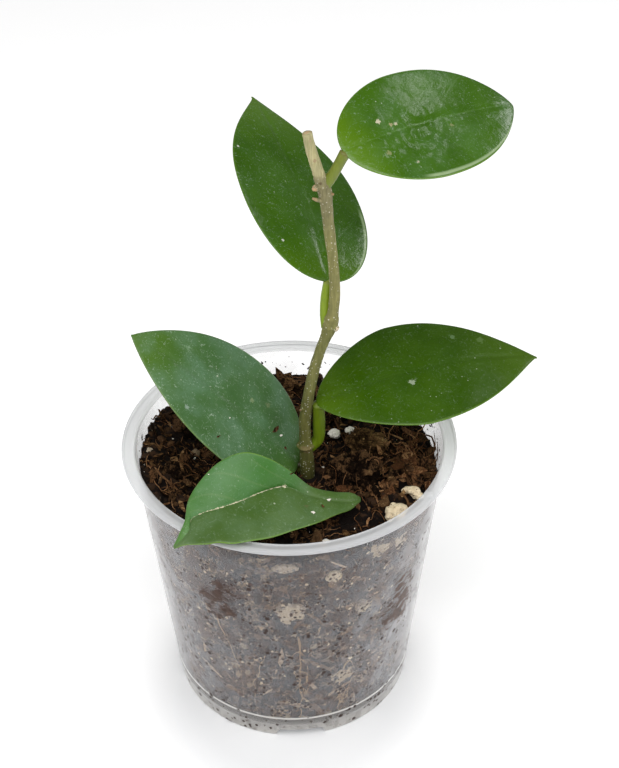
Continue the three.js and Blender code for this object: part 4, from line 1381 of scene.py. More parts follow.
# %% [markdown]
# ## Leaf blades
#
# A hoya leaf is thick and waxy: flat to slightly folded, with a blunt margin, a shallow groove
# over the midrib and hardly any raised veins. Each blade is a formula. A midline arches and
# twists from base to tip, rows of points cross it, and the two faces close round the margin.
# Its UV map runs from base to tip and from margin to margin, so the shader can draw the veins.

# %% Leaf sizes, as in the part's source
LEAVES = {
    "top": dict(
        base=(16, -5, 199), heading=30, rise=6, roll=-25, length=63.5, width=36,
        arch=25, twist=9, cup=0.01, shoulder=1.9, point=0.8,
    ),
    "upper": dict(
        base=(12, -2, 154.5), heading=102, rise=29, roll=-27, length=77, width=43.6,
        arch=23, twist=1, cup=0.01, shoulder=2.1, point=1.25,
    ),
    "right": dict(
        base=(8.5, -6, 112.8), heading=14, rise=19, roll=-9, length=74.5, width=42.5,
        arch=38, twist=1, cup=0.06, shoulder=1.5, point=1.2,
    ),
    "left": dict(
        base=(2.9, -3, 86.6), heading=182, rise=56, roll=25, length=69.5, width=39.5,
        arch=27, twist=4, cup=0.0, shoulder=2.0, point=0.93,
    ),
}
BLADE_THICKNESS = 1.3
MARGIN_THICKNESS = 0.8
BLADE_BELLY = 0.4
ROWS = 110
STRIPS = 56


def half_width_share(t, shoulder, point):
    """Half of a leaf's width at a share t of its length: a round base, then a drawn-out point."""
    base = (1 - (1 - np.minimum(t, BLADE_BELLY) / BLADE_BELLY) ** shoulder) ** (1 / shoulder)
    u = np.clip((t - BLADE_BELLY) / (1 - BLADE_BELLY), 0, 1)
    return np.where(t < BLADE_BELLY, base, (1 - u**2.2) ** point)


def blade_grid():
    """Shares along and across a blade, closer together near its ends and margins."""
    i = np.linspace(0, 1, ROWS + 1)
    along = 0.4 * i + 0.6 * (1 - np.cos(i * math.pi)) / 2
    across = np.sin(np.linspace(-1, 1, STRIPS + 1) * math.pi / 2)
    return along, across


# %% The middle surface of a flat leaf
def leaf_middle(leaf):
    """Rows of points from margin to margin, from the base to the tip."""
    heading, rise, roll, arch, twist = (
        math.radians(leaf[key]) for key in ("heading", "rise", "roll", "arch", "twist")
    )
    ahead = np.array([math.cos(heading), math.sin(heading), 0.0])
    overhead = np.array([0.0, 0.0, 1.0])
    along = ahead * math.cos(rise) + overhead * math.sin(rise)
    upright = overhead * math.cos(rise) - ahead * math.sin(rise)
    level = np.cross(upright, along)
    up = upright * math.cos(roll) + level * math.sin(roll)
    side = np.cross(up, along)
    t, v = blade_grid()
    bend = (arch * t)[:, None]
    centre = (
        np.array(leaf["base"])
        + along * leaf["length"] * np.sin(bend) / arch
        - up * leaf["length"] * (1 - np.cos(bend)) / arch
    )
    normal = up * np.cos(bend) + along * np.sin(bend)
    turn = (twist * t)[:, None]
    rib = side * np.cos(turn) + normal * np.sin(turn)
    top = normal * np.cos(turn) - side * np.sin(turn)
    least = np.where(t < 0.5, 0.9, 0.4)
    half = np.maximum(leaf["width"] / 2 * half_width_share(t, leaf["shoulder"], leaf["point"]), least)
    out = v[None, :] * half[:, None]
    sag = leaf["cup"] * out**2 / (leaf["width"] / 2)
    return centre[:, None] + rib[:, None] * out[..., None] - top[:, None] * sag[..., None]


# %% The bent leaf at the front
FOLD_LINE = [
    (21.5, -22, 88), (18, -25, 89.5), (12.5, -27, 91.7), (5.5, -28, 95.0), (-1.5, -28, 99.0),
    (-8.5, -31.2, 99.8), (-15, -35.5, 100), (-21.5, -38.5, 100), (-26, -40, 99.5), (-29, -42, 99),
    (-29.5, -45.5, 98), (-31.5, -48, 96.5), (-34, -49.5, 95),
]
FRONT_MARGIN = [
    (21.5, -22, 88), (18.5, -27.5, 89), (14, -32, 91), (7.5, -38, 93), (1, -43, 95),
    (-5.5, -47, 96), (-12, -49.5, 97), (-17, -51, 97.5), (-21, -51, 98), (-24, -51, 97.5),
    (-27, -51, 97.5), (-30.5, -50, 96.5), (-34, -49.5, 95),
]
REAR_MARGIN = [
    (21.5, -22, 88), (19, -21.5, 90), (13, -23.5, 92.5), (6.5, -25, 96), (0.5, -26, 103),
    (-6.5, -26.5, 109), (-13.5, -25.5, 110.5), (-21, -27, 108), (-27, -31.5, 104), (-30, -36.5, 101.5),
    (-31, -43, 99), (-32.5, -46, 97), (-34, -49.5, 95),
]


def bent_middle():
    """Two flat halves that meet in a crease."""
    fold, front, rear = (smooth_line(line, ROWS + 1) for line in (FOLD_LINE, FRONT_MARGIN, REAR_MARGIN))
    v = np.sin(np.linspace(-1, 1, STRIPS + 1) * math.pi / 2)
    share = np.abs(v)[None, :, None]
    margin = np.where(v[None, :, None] < 0, rear[:, None], front[:, None])
    rows = fold[:, None] * (1 - share) + margin * share
    near_base = np.clip(1 - np.linspace(0, 1, ROWS + 1) * 20, 0, 1)
    near_tip = np.clip(1 - np.linspace(1, 0, ROWS + 1) * 20, 0, 1)
    rows[..., 1] -= v * (0.9 * near_base + 0.45 * near_tip)[:, None]
    rows[..., 0] += v * (0.2 * near_tip)[:, None]
    return rows


# %% Close a blade round its margin
def round_off(share):
    """1 over most of a blade, and 0 at its margins, -1 and 1."""
    return np.sqrt(np.clip(1 - np.abs(share) ** 14, 0, 1))


def blade_piece(name, middle, t, finishes, seed, wave, crinkle=None):
    """A blade of real thickness over its middle surface, with groove, keel and gentle waves."""
    _, v = blade_grid()
    rows, columns = middle.shape[:2]
    normal = np.cross(np.gradient(middle, axis=0), np.gradient(middle, axis=1))
    normal /= np.linalg.norm(normal, axis=2)[..., None]
    edge = round_off(v)[None, :] * round_off(2 * t - 1)[:, None]
    body = MARGIN_THICKNESS + (BLADE_THICKNESS - MARGIN_THICKNESS) * (1 - v**2)
    half = 0.5 * body[None, :] * edge
    out = np.linalg.norm(middle - middle[:, columns // 2][:, None], axis=2)
    inner = (fade(t, 0.0, 0.08) * fade(-t, -0.98, -0.8))[:, None]
    groove = 0.32 * np.exp(-((out / 0.8) ** 2)) * inner
    bead = 0.10 * np.exp(-(((1 - np.abs(v)) / 0.06) ** 2))[None, :] * edge
    waves = wave * bumps(middle.reshape(-1, 3), 11.0, seed, 2).reshape(rows, columns) * inner * edge
    if crinkle is not None:
        waves += crinkle(middle, t, v) * edge
    upper = middle + normal * (half - groove * edge + bead + waves)[..., None]
    lower = middle - normal * (half + 0.45 * groove * edge - waves)[..., None]
    index = np.arange(rows * columns).reshape(rows, columns)
    under = index.copy()
    own = np.arange((rows - 2) * (columns - 2)).reshape(rows - 2, columns - 2)
    under[1:-1, 1:-1] = rows * columns + own
    top_faces, under_faces = quads(index), quads(under)[:, ::-1]
    points = np.concatenate([upper.reshape(-1, 3), lower[1:-1, 1:-1].reshape(-1, 3)])
    uv = np.stack(np.meshgrid(t, (v + 1) / 2, indexing="ij"), axis=-1)
    uv = np.concatenate([uv.reshape(-1, 2), uv[1:-1, 1:-1].reshape(-1, 2)])
    faces = np.concatenate([top_faces, under_faces]).tolist()
    finish_of = [0] * len(top_faces) + [1] * len(under_faces)
    node = name.replace("blade_", "leaf_")
    add_piece(name, points, faces, finishes, [node], finish_of=finish_of, uv=uv)


# %% [markdown]
# ## Waxy green
#
# The colour of a leaf comes in layers: uneven green, a paler midrib with faint side veins that
# run forward, a lighter rim where the blade is thin, white specks of dried water, and a film of
# dust on the older leaves. Two leaves have a painted highlight, a pale line on a stretch of the
# near margin where the rounded edge catches the light, and the bent one has a scarred crease with
# an olive half in front of it. The wax itself is a Principled shader of middling roughness,
# rougher where the dust lies.

# %% Veins
def make_veins():
    """Midrib, side veins and rim, from a blade's UV map."""
    inputs = {"Blade": None, "Wobble": 0.02, "Count": 7.0, "Slant": 0.30}
    group, given, result = new_group("Veins", inputs, ["Midrib", "Side veins", "Rim"])
    ragged = clouds(group, given["Blade"], 6.0, Detail=3.0)
    drift = times(group, sums(group, "SUBTRACT", ragged, 0.5), given["Wobble"])
    along, across = part_of(group, given["Blade"], 0), part_of(group, given["Blade"], 1)
    across = sums(group, "ABSOLUTE", times(group, across, 2.0, -1.0))
    sideways = sums(group, "ADD", across, drift)
    broken = window(group, clouds(group, given["Blade"], 30.0), 0.3, 0.6, 0.3, 1.0)
    leaning = sums(group, "SUBTRACT", along, times(group, sideways, given["Slant"]))
    wave = times(group, sums(group, "ADD", leaning, times(group, drift, 1.2)), given["Count"])
    near = off(group, sums(group, "FRACT", wave))
    inner = window(group, across, 0.75, 0.95, 1.0, 0.0)
    return give(
        group,
        result,
        Midrib=times(group, window(group, sideways, 0.004, 0.024, 1.0, 0.0), broken),
        Side_veins=times(group, window(group, near, 0.0, 0.09, 1.0, 0.0), inner),
        Rim=window(group, across, 0.965, 0.995),
    )


veins = make_veins()


# %% Leaf finish
def band(tree, value, start, end, soft):
    """A mask between two values, with soft ends."""
    begun = window(tree, value, start, start + soft)
    return times(tree, begun, window(tree, value, end - soft, end, 1.0, 0.0))


def creased(tree, place, blade, broad, green, olive, scar):
    """The bent leaf's green: olive in front of its crease and near its base, and a pale scar on it."""
    along, across = part_of(tree, blade, 0), part_of(tree, blade, 1)
    ragged = clouds(tree, place, 1.1, Detail=4.0)
    in_front = window(tree, across, 0.495, 0.51)
    base_end = window(tree, along, 0.24, 0.34, 1.0, 0.0)
    dull, lively = olive
    worn = blend(tree, window(tree, broad, 0.35, 0.65, 0.0, 0.7), rgb(*scar), rgb(0.26, 0.21, 0.10))
    width = window(tree, ragged, 0.38, 0.65, 0.001, 0.014)
    on_line = sums(tree, "LESS_THAN", off(tree, across, 0.502), width)
    reach = times(tree, window(tree, along, 0.335, 0.345), window(tree, along, 0.79, 0.81, 1.0, 0.0))
    is_olive = larger(tree, in_front, base_end)
    rows = [(is_olive, blend(tree, broad, rgb(*dull), rgb(*lively))), (times(tree, on_line, reach), worn)]
    return layers(tree, green, rows)


def make_leaf_finish(
    name, deep, bright, ends, rib, rim, *, base=0.0, tip=0.0, midrib=0.35, dusty=0.0, scratched=0.0,
    specked=0.2, gloss=0.32, shine=0.4, marks=(), crease=None, margin_highlight=None,
):
    """A waxy green. marks are (centre, radius, colour, strength) in mm round the pot's axis.

    The last argument is the stretch of the near margin, in shares of the length, that gets a painted
    highlight: a pale line where the rounded edge catches the light.
    """
    finish, tree, sockets, place = new_finish(name, IOR=1.45, Specular_IOR_Level=shine)
    deep, bright, ends, rib, rim = (rgb(*colour) for colour in (deep, bright, ends, rib, rim))
    blade = put(tree, "UVMap", uv_map="blade").outputs[0]
    along, across = part_of(tree, blade, 0), part_of(tree, blade, 1)
    lines = use(tree, veins, Blade=blade)
    broad = use(tree, mottle, Place=place, Size=11.0, Contrast=0.8)["Mask"]
    fine = use(tree, mottle, Place=place, Size=2.4, Contrast=0.9, Detail=6.0)["Mask"]
    to_base = window(tree, along, 0.0, 0.22, base, 0.0)
    to_tip = window(tree, along, 0.62, 1.0, 0.0, tip)
    rows = [
        (broad, bright),
        (times(tree, fine, 0.35), bright),
        (larger(tree, to_base, to_tip), ends),
        (times(tree, lines["Side veins"], 0.05), rib),
    ]
    green = layers(tree, deep, rows)
    if crease is None:
        green = blend(tree, times(tree, lines["Midrib"], midrib), green, rib)
    else:
        green = creased(tree, place, blade, broad, green, *crease)
    green = blend(tree, times(tree, lines["Rim"], 0.7), green, rim)
    # Painted highlight: a pale line along a stretch of the near margin, where the rounded edge catches the
    # light.
    if margin_highlight is not None:
        on_margin = window(tree, across, 0.012, 0.020)
        on_margin = times(tree, on_margin, window(tree, across, 0.030, 0.050, 0.8, 0.0))
        painted_highlight_line = times(tree, on_margin, band(tree, along, *margin_highlight, 0.08))
        green = blend(tree, painted_highlight_line, green, rgb(0.34, 0.45, 0.24))
    film = use(tree, dust, Place=place, Amount=dusty, Size=9.0)["Film"]
    rubbed = use(tree, dust, Place=place, Amount=scratched, Size=9.0)["Scratches"]
    small = use(tree, specks, Place=place, Spacing=1.7, Size=0.19, Share=specked)
    large = use(tree, specks, Place=place, Spacing=5.5, Size=0.32, Share=specked)
    dots = larger(tree, times(tree, small["Mask"], small["Tone"]), large["Mask"])
    rows = [
        (film, rgb(0.20, 0.34, 0.27)),
        (rubbed, rgb(0.42, 0.52, 0.40)),
        (times(tree, dots, 0.75), rgb(0.50, 0.56, 0.42)),
    ]
    for centre, radius, colour, strength in marks:
        spot = spots(tree, place, [(centre, radius)], 0.8)
        rows.append((times(tree, spot, strength), rgb(*colour)))
    tree.links.new(layers(tree, green, rows), sockets["Base Color"])
    rough = times(tree, fine, 0.12, gloss - 0.06)
    tree.links.new(times(tree, film, 0.6, rough, clamp=True), sockets["Roughness"])
    relief(tree, sockets, times(tree, lines["Side veins"], -0.06, times(tree, fine, 0.8)), 0.14)
    return finish


def make_underside():
    """The lower face: paler, flatter and duller."""
    finish, tree, sockets, place = new_finish("leaf_underside", Roughness=0.55, IOR=1.45)
    lines = use(tree, veins, Blade=put(tree, "UVMap", uv_map="blade").outputs[0])
    broad = use(tree, mottle, Place=place, Size=9.0, Contrast=0.7)["Mask"]
    rows = [
        (broad, rgb(0.12, 0.25, 0.05)),
        (times(tree, lines["Midrib"], 0.7), rgb(0.28, 0.40, 0.12)),
        (times(tree, lines["Side veins"], 0.3), rgb(0.20, 0.32, 0.10)),
    ]
    tree.links.new(layers(tree, rgb(0.075, 0.17, 0.030), rows), sockets["Base Color"])
    relief(tree, sockets, lines["Side veins"], 0.1)
    return finish


# %% The five leaves
CREAM, TAN, CHALK = (0.62, 0.56, 0.40), (0.30, 0.30, 0.14), (0.7, 0.7, 0.62)
GREENS = {
    "top": dict(
        deep=(0.022, 0.078, 0.0), bright=(0.050, 0.140, 0.0), ends=(0.095, 0.200, 0.0),
        rib=(0.13, 0.26, 0.06), rim=(0.14, 0.26, 0.02), base=0.9, midrib=0.25, dusty=0.08,
        scratched=0.30, specked=0.15, gloss=0.22, shine=0.55, margin_highlight=(0.25, 0.97),
        marks=[
            ((26.1, 5.3, 202.6), 0.8, CREAM, 0.8),
            ((29.6, 5.2, 201.6), 0.6, (0.42, 0.36, 0.20), 0.7),
            ((31.0, 5.9, 201.4), 0.5, CREAM, 0.7),
            ((28.7, -3.7, 197.7), 0.7, TAN, 0.6),
            ((36.7, -4.4, 195.1), 0.4, CREAM, 0.6),
            ((47.3, 11.6, 197.7), 0.6, TAN, 0.5),
        ],
    ),
    "upper": dict(
        deep=(0.022, 0.076, 0.0), bright=(0.046, 0.126, 0.0), ends=(0.078, 0.168, 0.008),
        rib=(0.08, 0.17, 0.04), rim=(0.09, 0.18, 0.02), base=0.7, tip=0.9, midrib=0.15, dusty=0.06,
        scratched=0.30, specked=0.24, gloss=0.20, shine=0.35, margin_highlight=(0.0, 0.40),
        marks=[((-13.7, 33.5, 180.0), 0.4, CHALK, 0.9), ((-0.8, 3.5, 165.7), 0.4, CHALK, 0.9)],
    ),
    "right": dict(
        deep=(0.018, 0.060, 0.0), bright=(0.042, 0.100, 0.0), ends=(0.074, 0.145, 0.003),
        rib=(0.08, 0.16, 0.03), rim=(0.11, 0.21, 0.02), base=0.7, tip=0.6, midrib=0.10, dusty=0.02,
        scratched=0.18, specked=0.18, gloss=0.30, shine=0.25,
        marks=[
            ((37.5, -3.3, 118.5), 1.1, (0.34, 0.40, 0.28), 0.8),
            ((51.5, 17.1, 120.4), 0.9, (0.16, 0.26, 0.12), 0.6),
            ((60.3, 17.2, 118.9), 1.2, (0.12, 0.20, 0.06), 0.6),
        ],
    ),
    "left": dict(
        deep=(0.030, 0.095, 0.014), bright=(0.068, 0.158, 0.050), ends=(0.080, 0.165, 0.010),
        rib=(0.10, 0.18, 0.07), rim=(0.12, 0.20, 0.04), base=0.4, tip=0.85, midrib=0.10, dusty=0.30,
        scratched=0.55, specked=0.15, gloss=0.34,
        marks=[
            ((-11.3, 2.1, 108.5), 0.7, (0.26, 0.32, 0.16), 0.6),
            ((-6.5, 4.3, 104.7), 1.0, (0.16, 0.20, 0.08), 0.5),
            ((-30.4, -12.7, 117.8), 0.7, (0.40, 0.48, 0.42), 0.5),
            ((-30.4, 5.8, 126.2), 1.0, (0.20, 0.32, 0.18), 0.5),
        ],
    ),
    "front": dict(
        deep=(0.030, 0.128, 0.016), bright=(0.068, 0.195, 0.036), ends=(0.12, 0.24, 0.01),
        rib=(0.50, 0.50, 0.28), rim=(0.14, 0.27, 0.02), base=0.5, tip=0.35, dusty=0.14,
        scratched=0.25, specked=0.18, gloss=0.38,
        crease=(((0.038, 0.095, 0.012), (0.095, 0.165, 0.038)), (0.66, 0.60, 0.42)),
        marks=[
            ((-1.8, -28.3, 99.3), 0.7, (0.72, 0.66, 0.48), 0.9),
            ((4.5, -33.0, 95.0), 0.8, (0.14, 0.12, 0.05), 0.5),
        ],
    ),
}
underside = make_underside()
wax = {name: make_leaf_finish("green_" + name, **row) for name, row in GREENS.items()}
print("greens:", list(wax))


def wet_crinkle(middle, t, v):
    """Fine puckers in the middle of the top leaf, where it catches the light."""
    shape = middle.shape[:2]
    flat = middle.reshape(-1, 3)
    puckers = ((1 - np.abs(bumps(flat, 3.4, 71, 2))) ** 3).reshape(shape)
    patch = np.exp(-(((t[:, None] - 0.38) / 0.22) ** 2) - ((v[None, :] + 0.25) / 0.55) ** 2)
    return 0.55 * puckers * patch


leaf_along, _ = blade_grid()
for seed, name in enumerate(LEAVES, 81):
    wave = 0.3 if name == "left" else 0.22
    crinkle = wet_crinkle if name == "top" else None
    finishes = [wax[name], underside]
    blade_piece("blade_" + name, leaf_middle(LEAVES[name]), leaf_along, finishes, seed, wave, crinkle)
even_steps = np.linspace(0, 1, ROWS + 1)
blade_piece("blade_front", bent_middle(), even_steps, [wax["front"], underside], 85, 0.3)

# %% [markdown]
# ## Litter on the leaves
#
# Two white grains and a few crumbs and splinters fell on the lower leaves when the cutting was
# potted. A ray finds the leaf under each of them, so they lie on its skin.

# %% Crumbs on the leaves
LITTER = [
    (11.6, -27.3, 0.75, "perlite"), (6.6, -34.8, 0.70, "perlite"), (-2.6, -1.2, 0.60, "perlite"),
    (-4.1, -0.9, 1.00, "bark"), (-21.5, -15.6, 0.45, "bark"), (-1.4, -3.1, 0.50, "bark"),
    (9.5, -31.0, 0.55, "bark"), (0.5, -26.6, 0.40, "bark"), (-18.0, -8.0, 0.30, "perlite"),
    (-24.0, -30.0, 0.25, "perlite"),
]


def make_litter(kind, name, finish):
    """Shards on the two lower leaves, sunk a little into the wax."""
    leaves_below = surface_of(["blade_left", "blade_front"])
    shapes = []
    for x, y, size, its_kind in LITTER:
        if its_kind == kind:
            hit = leaves_below.ray_cast(Vector((x, y, 140)), Vector((0, 0, -1)))[0]
            points, faces = chance.choice(SHARDS)
            long = 2.4 if kind == "bark" else 1.2
            placed = (points * (size * long, size * 0.9, size * 0.6)) @ leaning(20).T
            shapes.append((placed + (x, y, hit.z + size * 0.35), faces))
    points, faces, owner = merged(shapes)
    add_piece(name, points, faces, [finish], tone=0.4 + 0.1 * (owner % 4), soft=False)


make_litter("perlite", "litter_white", perlite)
make_litter("bark", "litter_bark", bark)

# %% [markdown]
# ## Stem and stalks
#
# The stem is last year's wood: olive-brown, with fine lengthwise ridges, pale corky specks and a
# swollen node wherever leaves grew. Its top was cut and dried back to a cream stub. Its rings
# are those of the CAD rod, read much closer together, with ridges and node collars added to the
# radius of every point. The leaf stalks are this year's growth, smooth and bright green.

# %% Stem rings, as in the part's source
STEM_Y = -5.5
STEM_RINGS = [
    (5.5, 72, 2.1), (5.5, 79, 2.3), (5.5, 86, 2.3), (5.3, 91, 2.2), (5.2, 95, 2.2), (5.1, 96.5, 2.6),
    (5.0, 98, 2.0), (4.9, 101, 1.8), (5.0, 107.5, 1.8), (6.0, 115.5, 1.7), (7.5, 124, 1.6),
    (9.3, 131.5, 1.6), (11.3, 137.5, 1.7), (12.3, 140.5, 2.1), (12.9, 143, 2.2), (13.4, 146, 1.7),
    (13.9, 153.5, 1.6), (13.7, 159.5, 1.5), (13.2, 166, 1.5), (12.7, 170.5, 1.6), (12.1, 176.5, 1.6),
    (11.5, 182.5, 1.8), (10.9, 187.5, 2.0), (10.3, 190, 2.1), (9.6, 192, 1.8), (8.4, 196, 1.6),
    (7.2, 200.5, 1.5), (6.3, 205.2, 1.4),
]
STEM_STUBS = [
    [(10.6, -6, 184.5, 0.7), (9.0, -7.2, 185.2, 0.6), (7.6, -7.6, 186, 0.3)],
    [(11.6, -5.5, 186, 0.5), (13.5, -6.2, 186.4, 0.3)],
    [(9.6, -6, 189.2, 1.0), (8.3, -7, 188.8, 0.9), (7.7, -7.4, 188.6, 0.5)],
    [(12.6, -6, 142.5, 1.2), (14.2, -7.2, 141.8, 1.1), (14.8, -7.6, 141.6, 0.8)],
    [(5.2, -6, 111, 0.5), (3.2, -7.4, 111.6, 0.3)],
]


# %% Stem finish
STEM_MARKS = [
    ((5.1, -7.6, 96.3), 1.5, (0.17, 0.13, 0.05)),
    ((14.8, -7.6, 141.6), 1.1, (0.72, 0.60, 0.46)),
    ((7.7, -7.4, 188.6), 1.2, (0.50, 0.32, 0.17)),
    ((8.0, -7.4, 185.8), 1.0, (0.36, 0.25, 0.13)),
    ((13.5, -6.2, 186.4), 0.7, (0.40, 0.24, 0.12)),
    ((3.2, -7.4, 111.6), 0.7, (0.16, 0.08, 0.04)),
    ((9.8, -7.6, 190.6), 0.45, (0.10, 0.07, 0.03)),
    ((8.3, -7.0, 197.5), 0.5, (0.34, 0.24, 0.13)),
    ((7.0, -6.8, 203.4), 0.4, (0.40, 0.30, 0.18)),
    ((6.3, -5.5, 206.2), 1.2, (0.45, 0.30, 0.17)),
]
STEM_TINTS = [
    (84, 97, (0.150, 0.150, 0.040)),
    (112, 126, (0.215, 0.215, 0.075)),
    (139, 146, (0.285, 0.270, 0.105)),
    (168, 186, (0.28, 0.255, 0.140)),
    (191.5, 193.0, (0.43, 0.395, 0.215)),
]


def make_stem_finish():
    """Bark that goes from green-brown at the foot to the cream of the dry stub, with scars."""
    finish, tree, sockets, place = new_finish("stem_bark", Roughness=0.72, Specular_IOR_Level=0.35)
    height = part_of(tree, place, 2)
    lengthwise = use(tree, streaks, Place=place, Width=0.45, Stretch=(1, 1, 11), Warp=0.3)["Mask"]
    broad = use(tree, streaks, Place=place, Width=1.3, Stretch=(1, 1, 5), Warp=0.3)["Mask"]
    blotches = use(tree, mottle, Place=place, Size=1.6, Contrast=1.0, Detail=5.0)["Mask"]
    rows = [(window(tree, height, low, high), rgb(*tint)) for low, high, tint in STEM_TINTS]
    colour = layers(tree, rgb(0.085, 0.085, 0.018), rows)
    dark = blend(tree, 1.0, colour, rgb(0.46, 0.46, 0.34), "MULTIPLY")
    below_stub = window(tree, height, 190.0, 193.0, 1.0, 0.25)
    blotched = times(tree, times(tree, blotches, 0.85), below_stub)
    colour = layers(tree, colour, [(times(tree, lengthwise, 0.55), dark), (blotched, dark)])
    pale = blend(tree, 1.0, colour, rgb(1.60, 1.55, 1.50), "MULTIPLY")
    dots = use(tree, specks, Place=place, Spacing=0.80, Size=0.21, Share=0.55)
    flecks = times(tree, dots["Mask"], times(tree, dots["Tone"], 0.6, 0.4))
    rows = [(times(tree, broad, 0.5), pale), (times(tree, flecks, below_stub), rgb(0.62, 0.60, 0.48))]
    for centre, radius, tint in STEM_MARKS:
        rows.append((times(tree, spots(tree, place, [(centre, radius)], 0.5), 0.85), rgb(*tint)))
    tree.links.new(layers(tree, colour, rows), sockets["Base Color"])
    relief(tree, sockets, lengthwise, 0.12)
    return finish


# %% Stem
COLLARS = [(96.4, 0.32, 0.35), (141.6, 0.22, 0.5), (144.3, 0.16, 0.4), (189.2, 0.2, 0.5), (192.2, -0.18, 0.3)]


def make_stem(finish):
    """The rod with ridges and node collars, and the stubs of its air roots and scars."""
    knots = [(x, STEM_Y, z, radius) for x, z, radius in STEM_RINGS]
    line = smooth_line(knots, 330)
    path, radius = line[:, :3], line[:, 3]
    sides = 40
    turn = np.linspace(0, 2 * math.pi, sides, endpoint=False)
    ring = np.stack([np.cos(turn), np.sin(turn), np.zeros(sides)], axis=1) * 2
    skin = np.repeat(path, sides, axis=0) + np.tile(ring, (len(path), 1))
    ridges = bumps(skin * (1.0, 1.0, 0.12), 0.9, 91, 3) * 0.11 + bumps(skin, 2.6, 92, 3) * 0.10
    z = path[:, 2]
    collar = np.zeros(len(z))
    for level, height, width in COLLARS:
        collar += height * np.exp(-(((z - level) / width) ** 2))
    radii = (radius + collar)[:, None] + ridges.reshape(len(path), sides)
    shapes = [tube(path, radii, sides)]
    for rings in STEM_STUBS:
        stub = smooth_line(rings, 14)
        rough = 1 + 0.12 * bumps(stub[:, :3], 0.8, 95, 2)
        shapes.append(tube(stub[:, :3], stub[:, 3] * rough, 12))
    points, faces, _ = merged(shapes)
    add_piece("woody_stem", points, faces, [finish], ["stem"])


make_stem(make_stem_finish())

# %% Leaf stalks
STALKS = {
    "top": [(11, -5.5, 189, 1.8), (13, -5.5, 191.8, 1.6), (14.8, -5.4, 195.2, 1.5), (16.6, -5, 198.6, 1.6)],
    "upper": [
        (11.6, -4.7, 140.5, 1.7), (11.2, -3.6, 144.5, 1.6), (11.5, -2.6, 150, 1.6), (12.2, -1.7, 154.6, 1.5),
    ],
    "right": [(6.5, -5, 95, 1.7), (8.8, -4.8, 98, 1.8), (9.2, -4.9, 104, 1.9), (9, -5.6, 112.6, 1.8)],
    "left": [(5.5, -5.2, 81, 1.6), (4.0, -3.6, 83.5, 1.5), (3.2, -2.8, 85.5, 1.4), (2.9, -2.9, 87, 1.4)],
    "front": [(7, -7, 74, 1.6), (12, -12, 76, 1.6), (17, -19, 81, 1.5), (18.6, -23, 89, 1.4)],
}


def make_stalk_finish(name, bright, shade, ends):
    """Smooth green. The tone of a point is how near it is to an end of the stalk."""
    finish, tree, sockets, place = new_finish(name, Roughness=0.42, IOR=1.45)
    tone = put(tree, "Attribute", attribute_name="tone").outputs["Fac"]
    lengthwise = use(tree, streaks, Place=place, Width=0.7, Stretch=(1, 1, 6), Warp=0.4)["Mask"]
    cloud = use(tree, mottle, Place=place, Size=1.6, Contrast=0.8)["Mask"]
    near_end = times(tree, window(tree, tone, 0.7, 1.0), times(tree, cloud, 0.6, 0.4))
    rows = [(times(tree, lengthwise, 0.5), rgb(*shade)), (near_end, rgb(*ends))]
    tree.links.new(layers(tree, rgb(*bright), rows), sockets["Base Color"])
    relief(tree, sockets, lengthwise, 0.05)
    return finish


STALK_GREENS = {
    "stalk_green": ((0.215, 0.305, 0.008), (0.15, 0.235, 0.005), (0.20, 0.22, 0.04)),
    "stalk_green_low": ((0.135, 0.205, 0.004), (0.09, 0.145, 0.003), (0.10, 0.14, 0.01)),
    "stalk_green_top": ((0.165, 0.205, 0.020), (0.115, 0.148, 0.014), (0.14, 0.13, 0.03)),
    "stalk_green_buried": ((0.055, 0.070, 0.010), (0.04, 0.05, 0.008), (0.04, 0.03, 0.01)),
}
young_green, low_green, top_stalk_green, buried_green = (
    make_stalk_finish(name, *row) for name, row in STALK_GREENS.items()
)
STALK_FINISHES = {"top": top_stalk_green, "upper": young_green, "left": buried_green, "front": buried_green}
STALK_SIDES = 24
for name, rings in STALKS.items():
    line = smooth_line(rings, 48)
    radius = line[:, 3] * (1 + 0.03 * bumps(line[:, :3], 2.0, 97, 2))
    points, faces = tube(line[:, :3], radius, STALK_SIDES)
    share = np.linspace(-1, 1, len(line)) ** 2
    tone = np.concatenate([np.repeat(share, STALK_SIDES), [1, 1]])
    finish = STALK_FINISHES.get(name, low_green)
    add_piece("petiole_" + name, points, faces, [finish], ["stalk_" + name], tone=tone)

# %% [markdown]
# ## Roots
#
# A cutting makes a swollen foot and a few long roots that run out to the wall and down it. Most
# are buried; the ones that reach the wall show as tan lines, with rootlets like hairs.

# %% Main roots
ROOT_START = (5.5, -5.5, 66, 1.2)
ROOT_PATHS = [
    [(4.6, -22, 60, 1.1), (4.3, -36, 53, 1.0), (4.2, -40, 40, 0.9), (4, -37, 10, 0.8)],
    [(-8, -14, 58, 1.1), (-22, -24, 50, 1.0), (-28, -27.5, 34, 0.8), (-27, -24, 14, 0.7)],
    [(-10, 4, 60, 1.1), (-26, 12, 52, 1.0), (-38, 10, 38, 0.8)],
    [(2, 12, 56, 1.1), (-4, 28, 44, 1.0), (-2, 36, 24, 0.8)],
    [(18, 8, 58, 1.1), (30, 16, 46, 1.0), (30, 20, 26, 0.8)],
    [(20, -14, 60, 1.1), (32, -20, 48, 1.0), (34, -19, 30, 0.8)],
    [(7, -6, 50, 1.1), (12, -10, 32, 1.0), (10, -14, 12, 0.8)],
]
ROOT_FOOT = [(5.5, -5.5, 71.6, 2.1), (5.5, -5.5, 70, 2.8), (5.5, -5.5, 67, 2.8), (5.5, -5.5, 64, 1.6)]
ROOT_TONES = ((0.36, 0.23, 0.12), (0.60, 0.42, 0.23), (0.74, 0.58, 0.36))
root_skin = make_earth("root_skin", *ROOT_TONES, grain=0.5, rough=0.75)
root_shapes = []
for rings in [ROOT_FOOT] + [[ROOT_START] + path for path in ROOT_PATHS]:
    line = smooth_line(rings, 60)
    radius = line[:, 3] * (1 + 0.08 * bumps(line[:, :3], 3.0, 99, 2))
    root_shapes.append(tube(line[:, :3], radius, 10))
points, faces, _ = merged(root_shapes)
tone = np.full(len(points), 0.6)
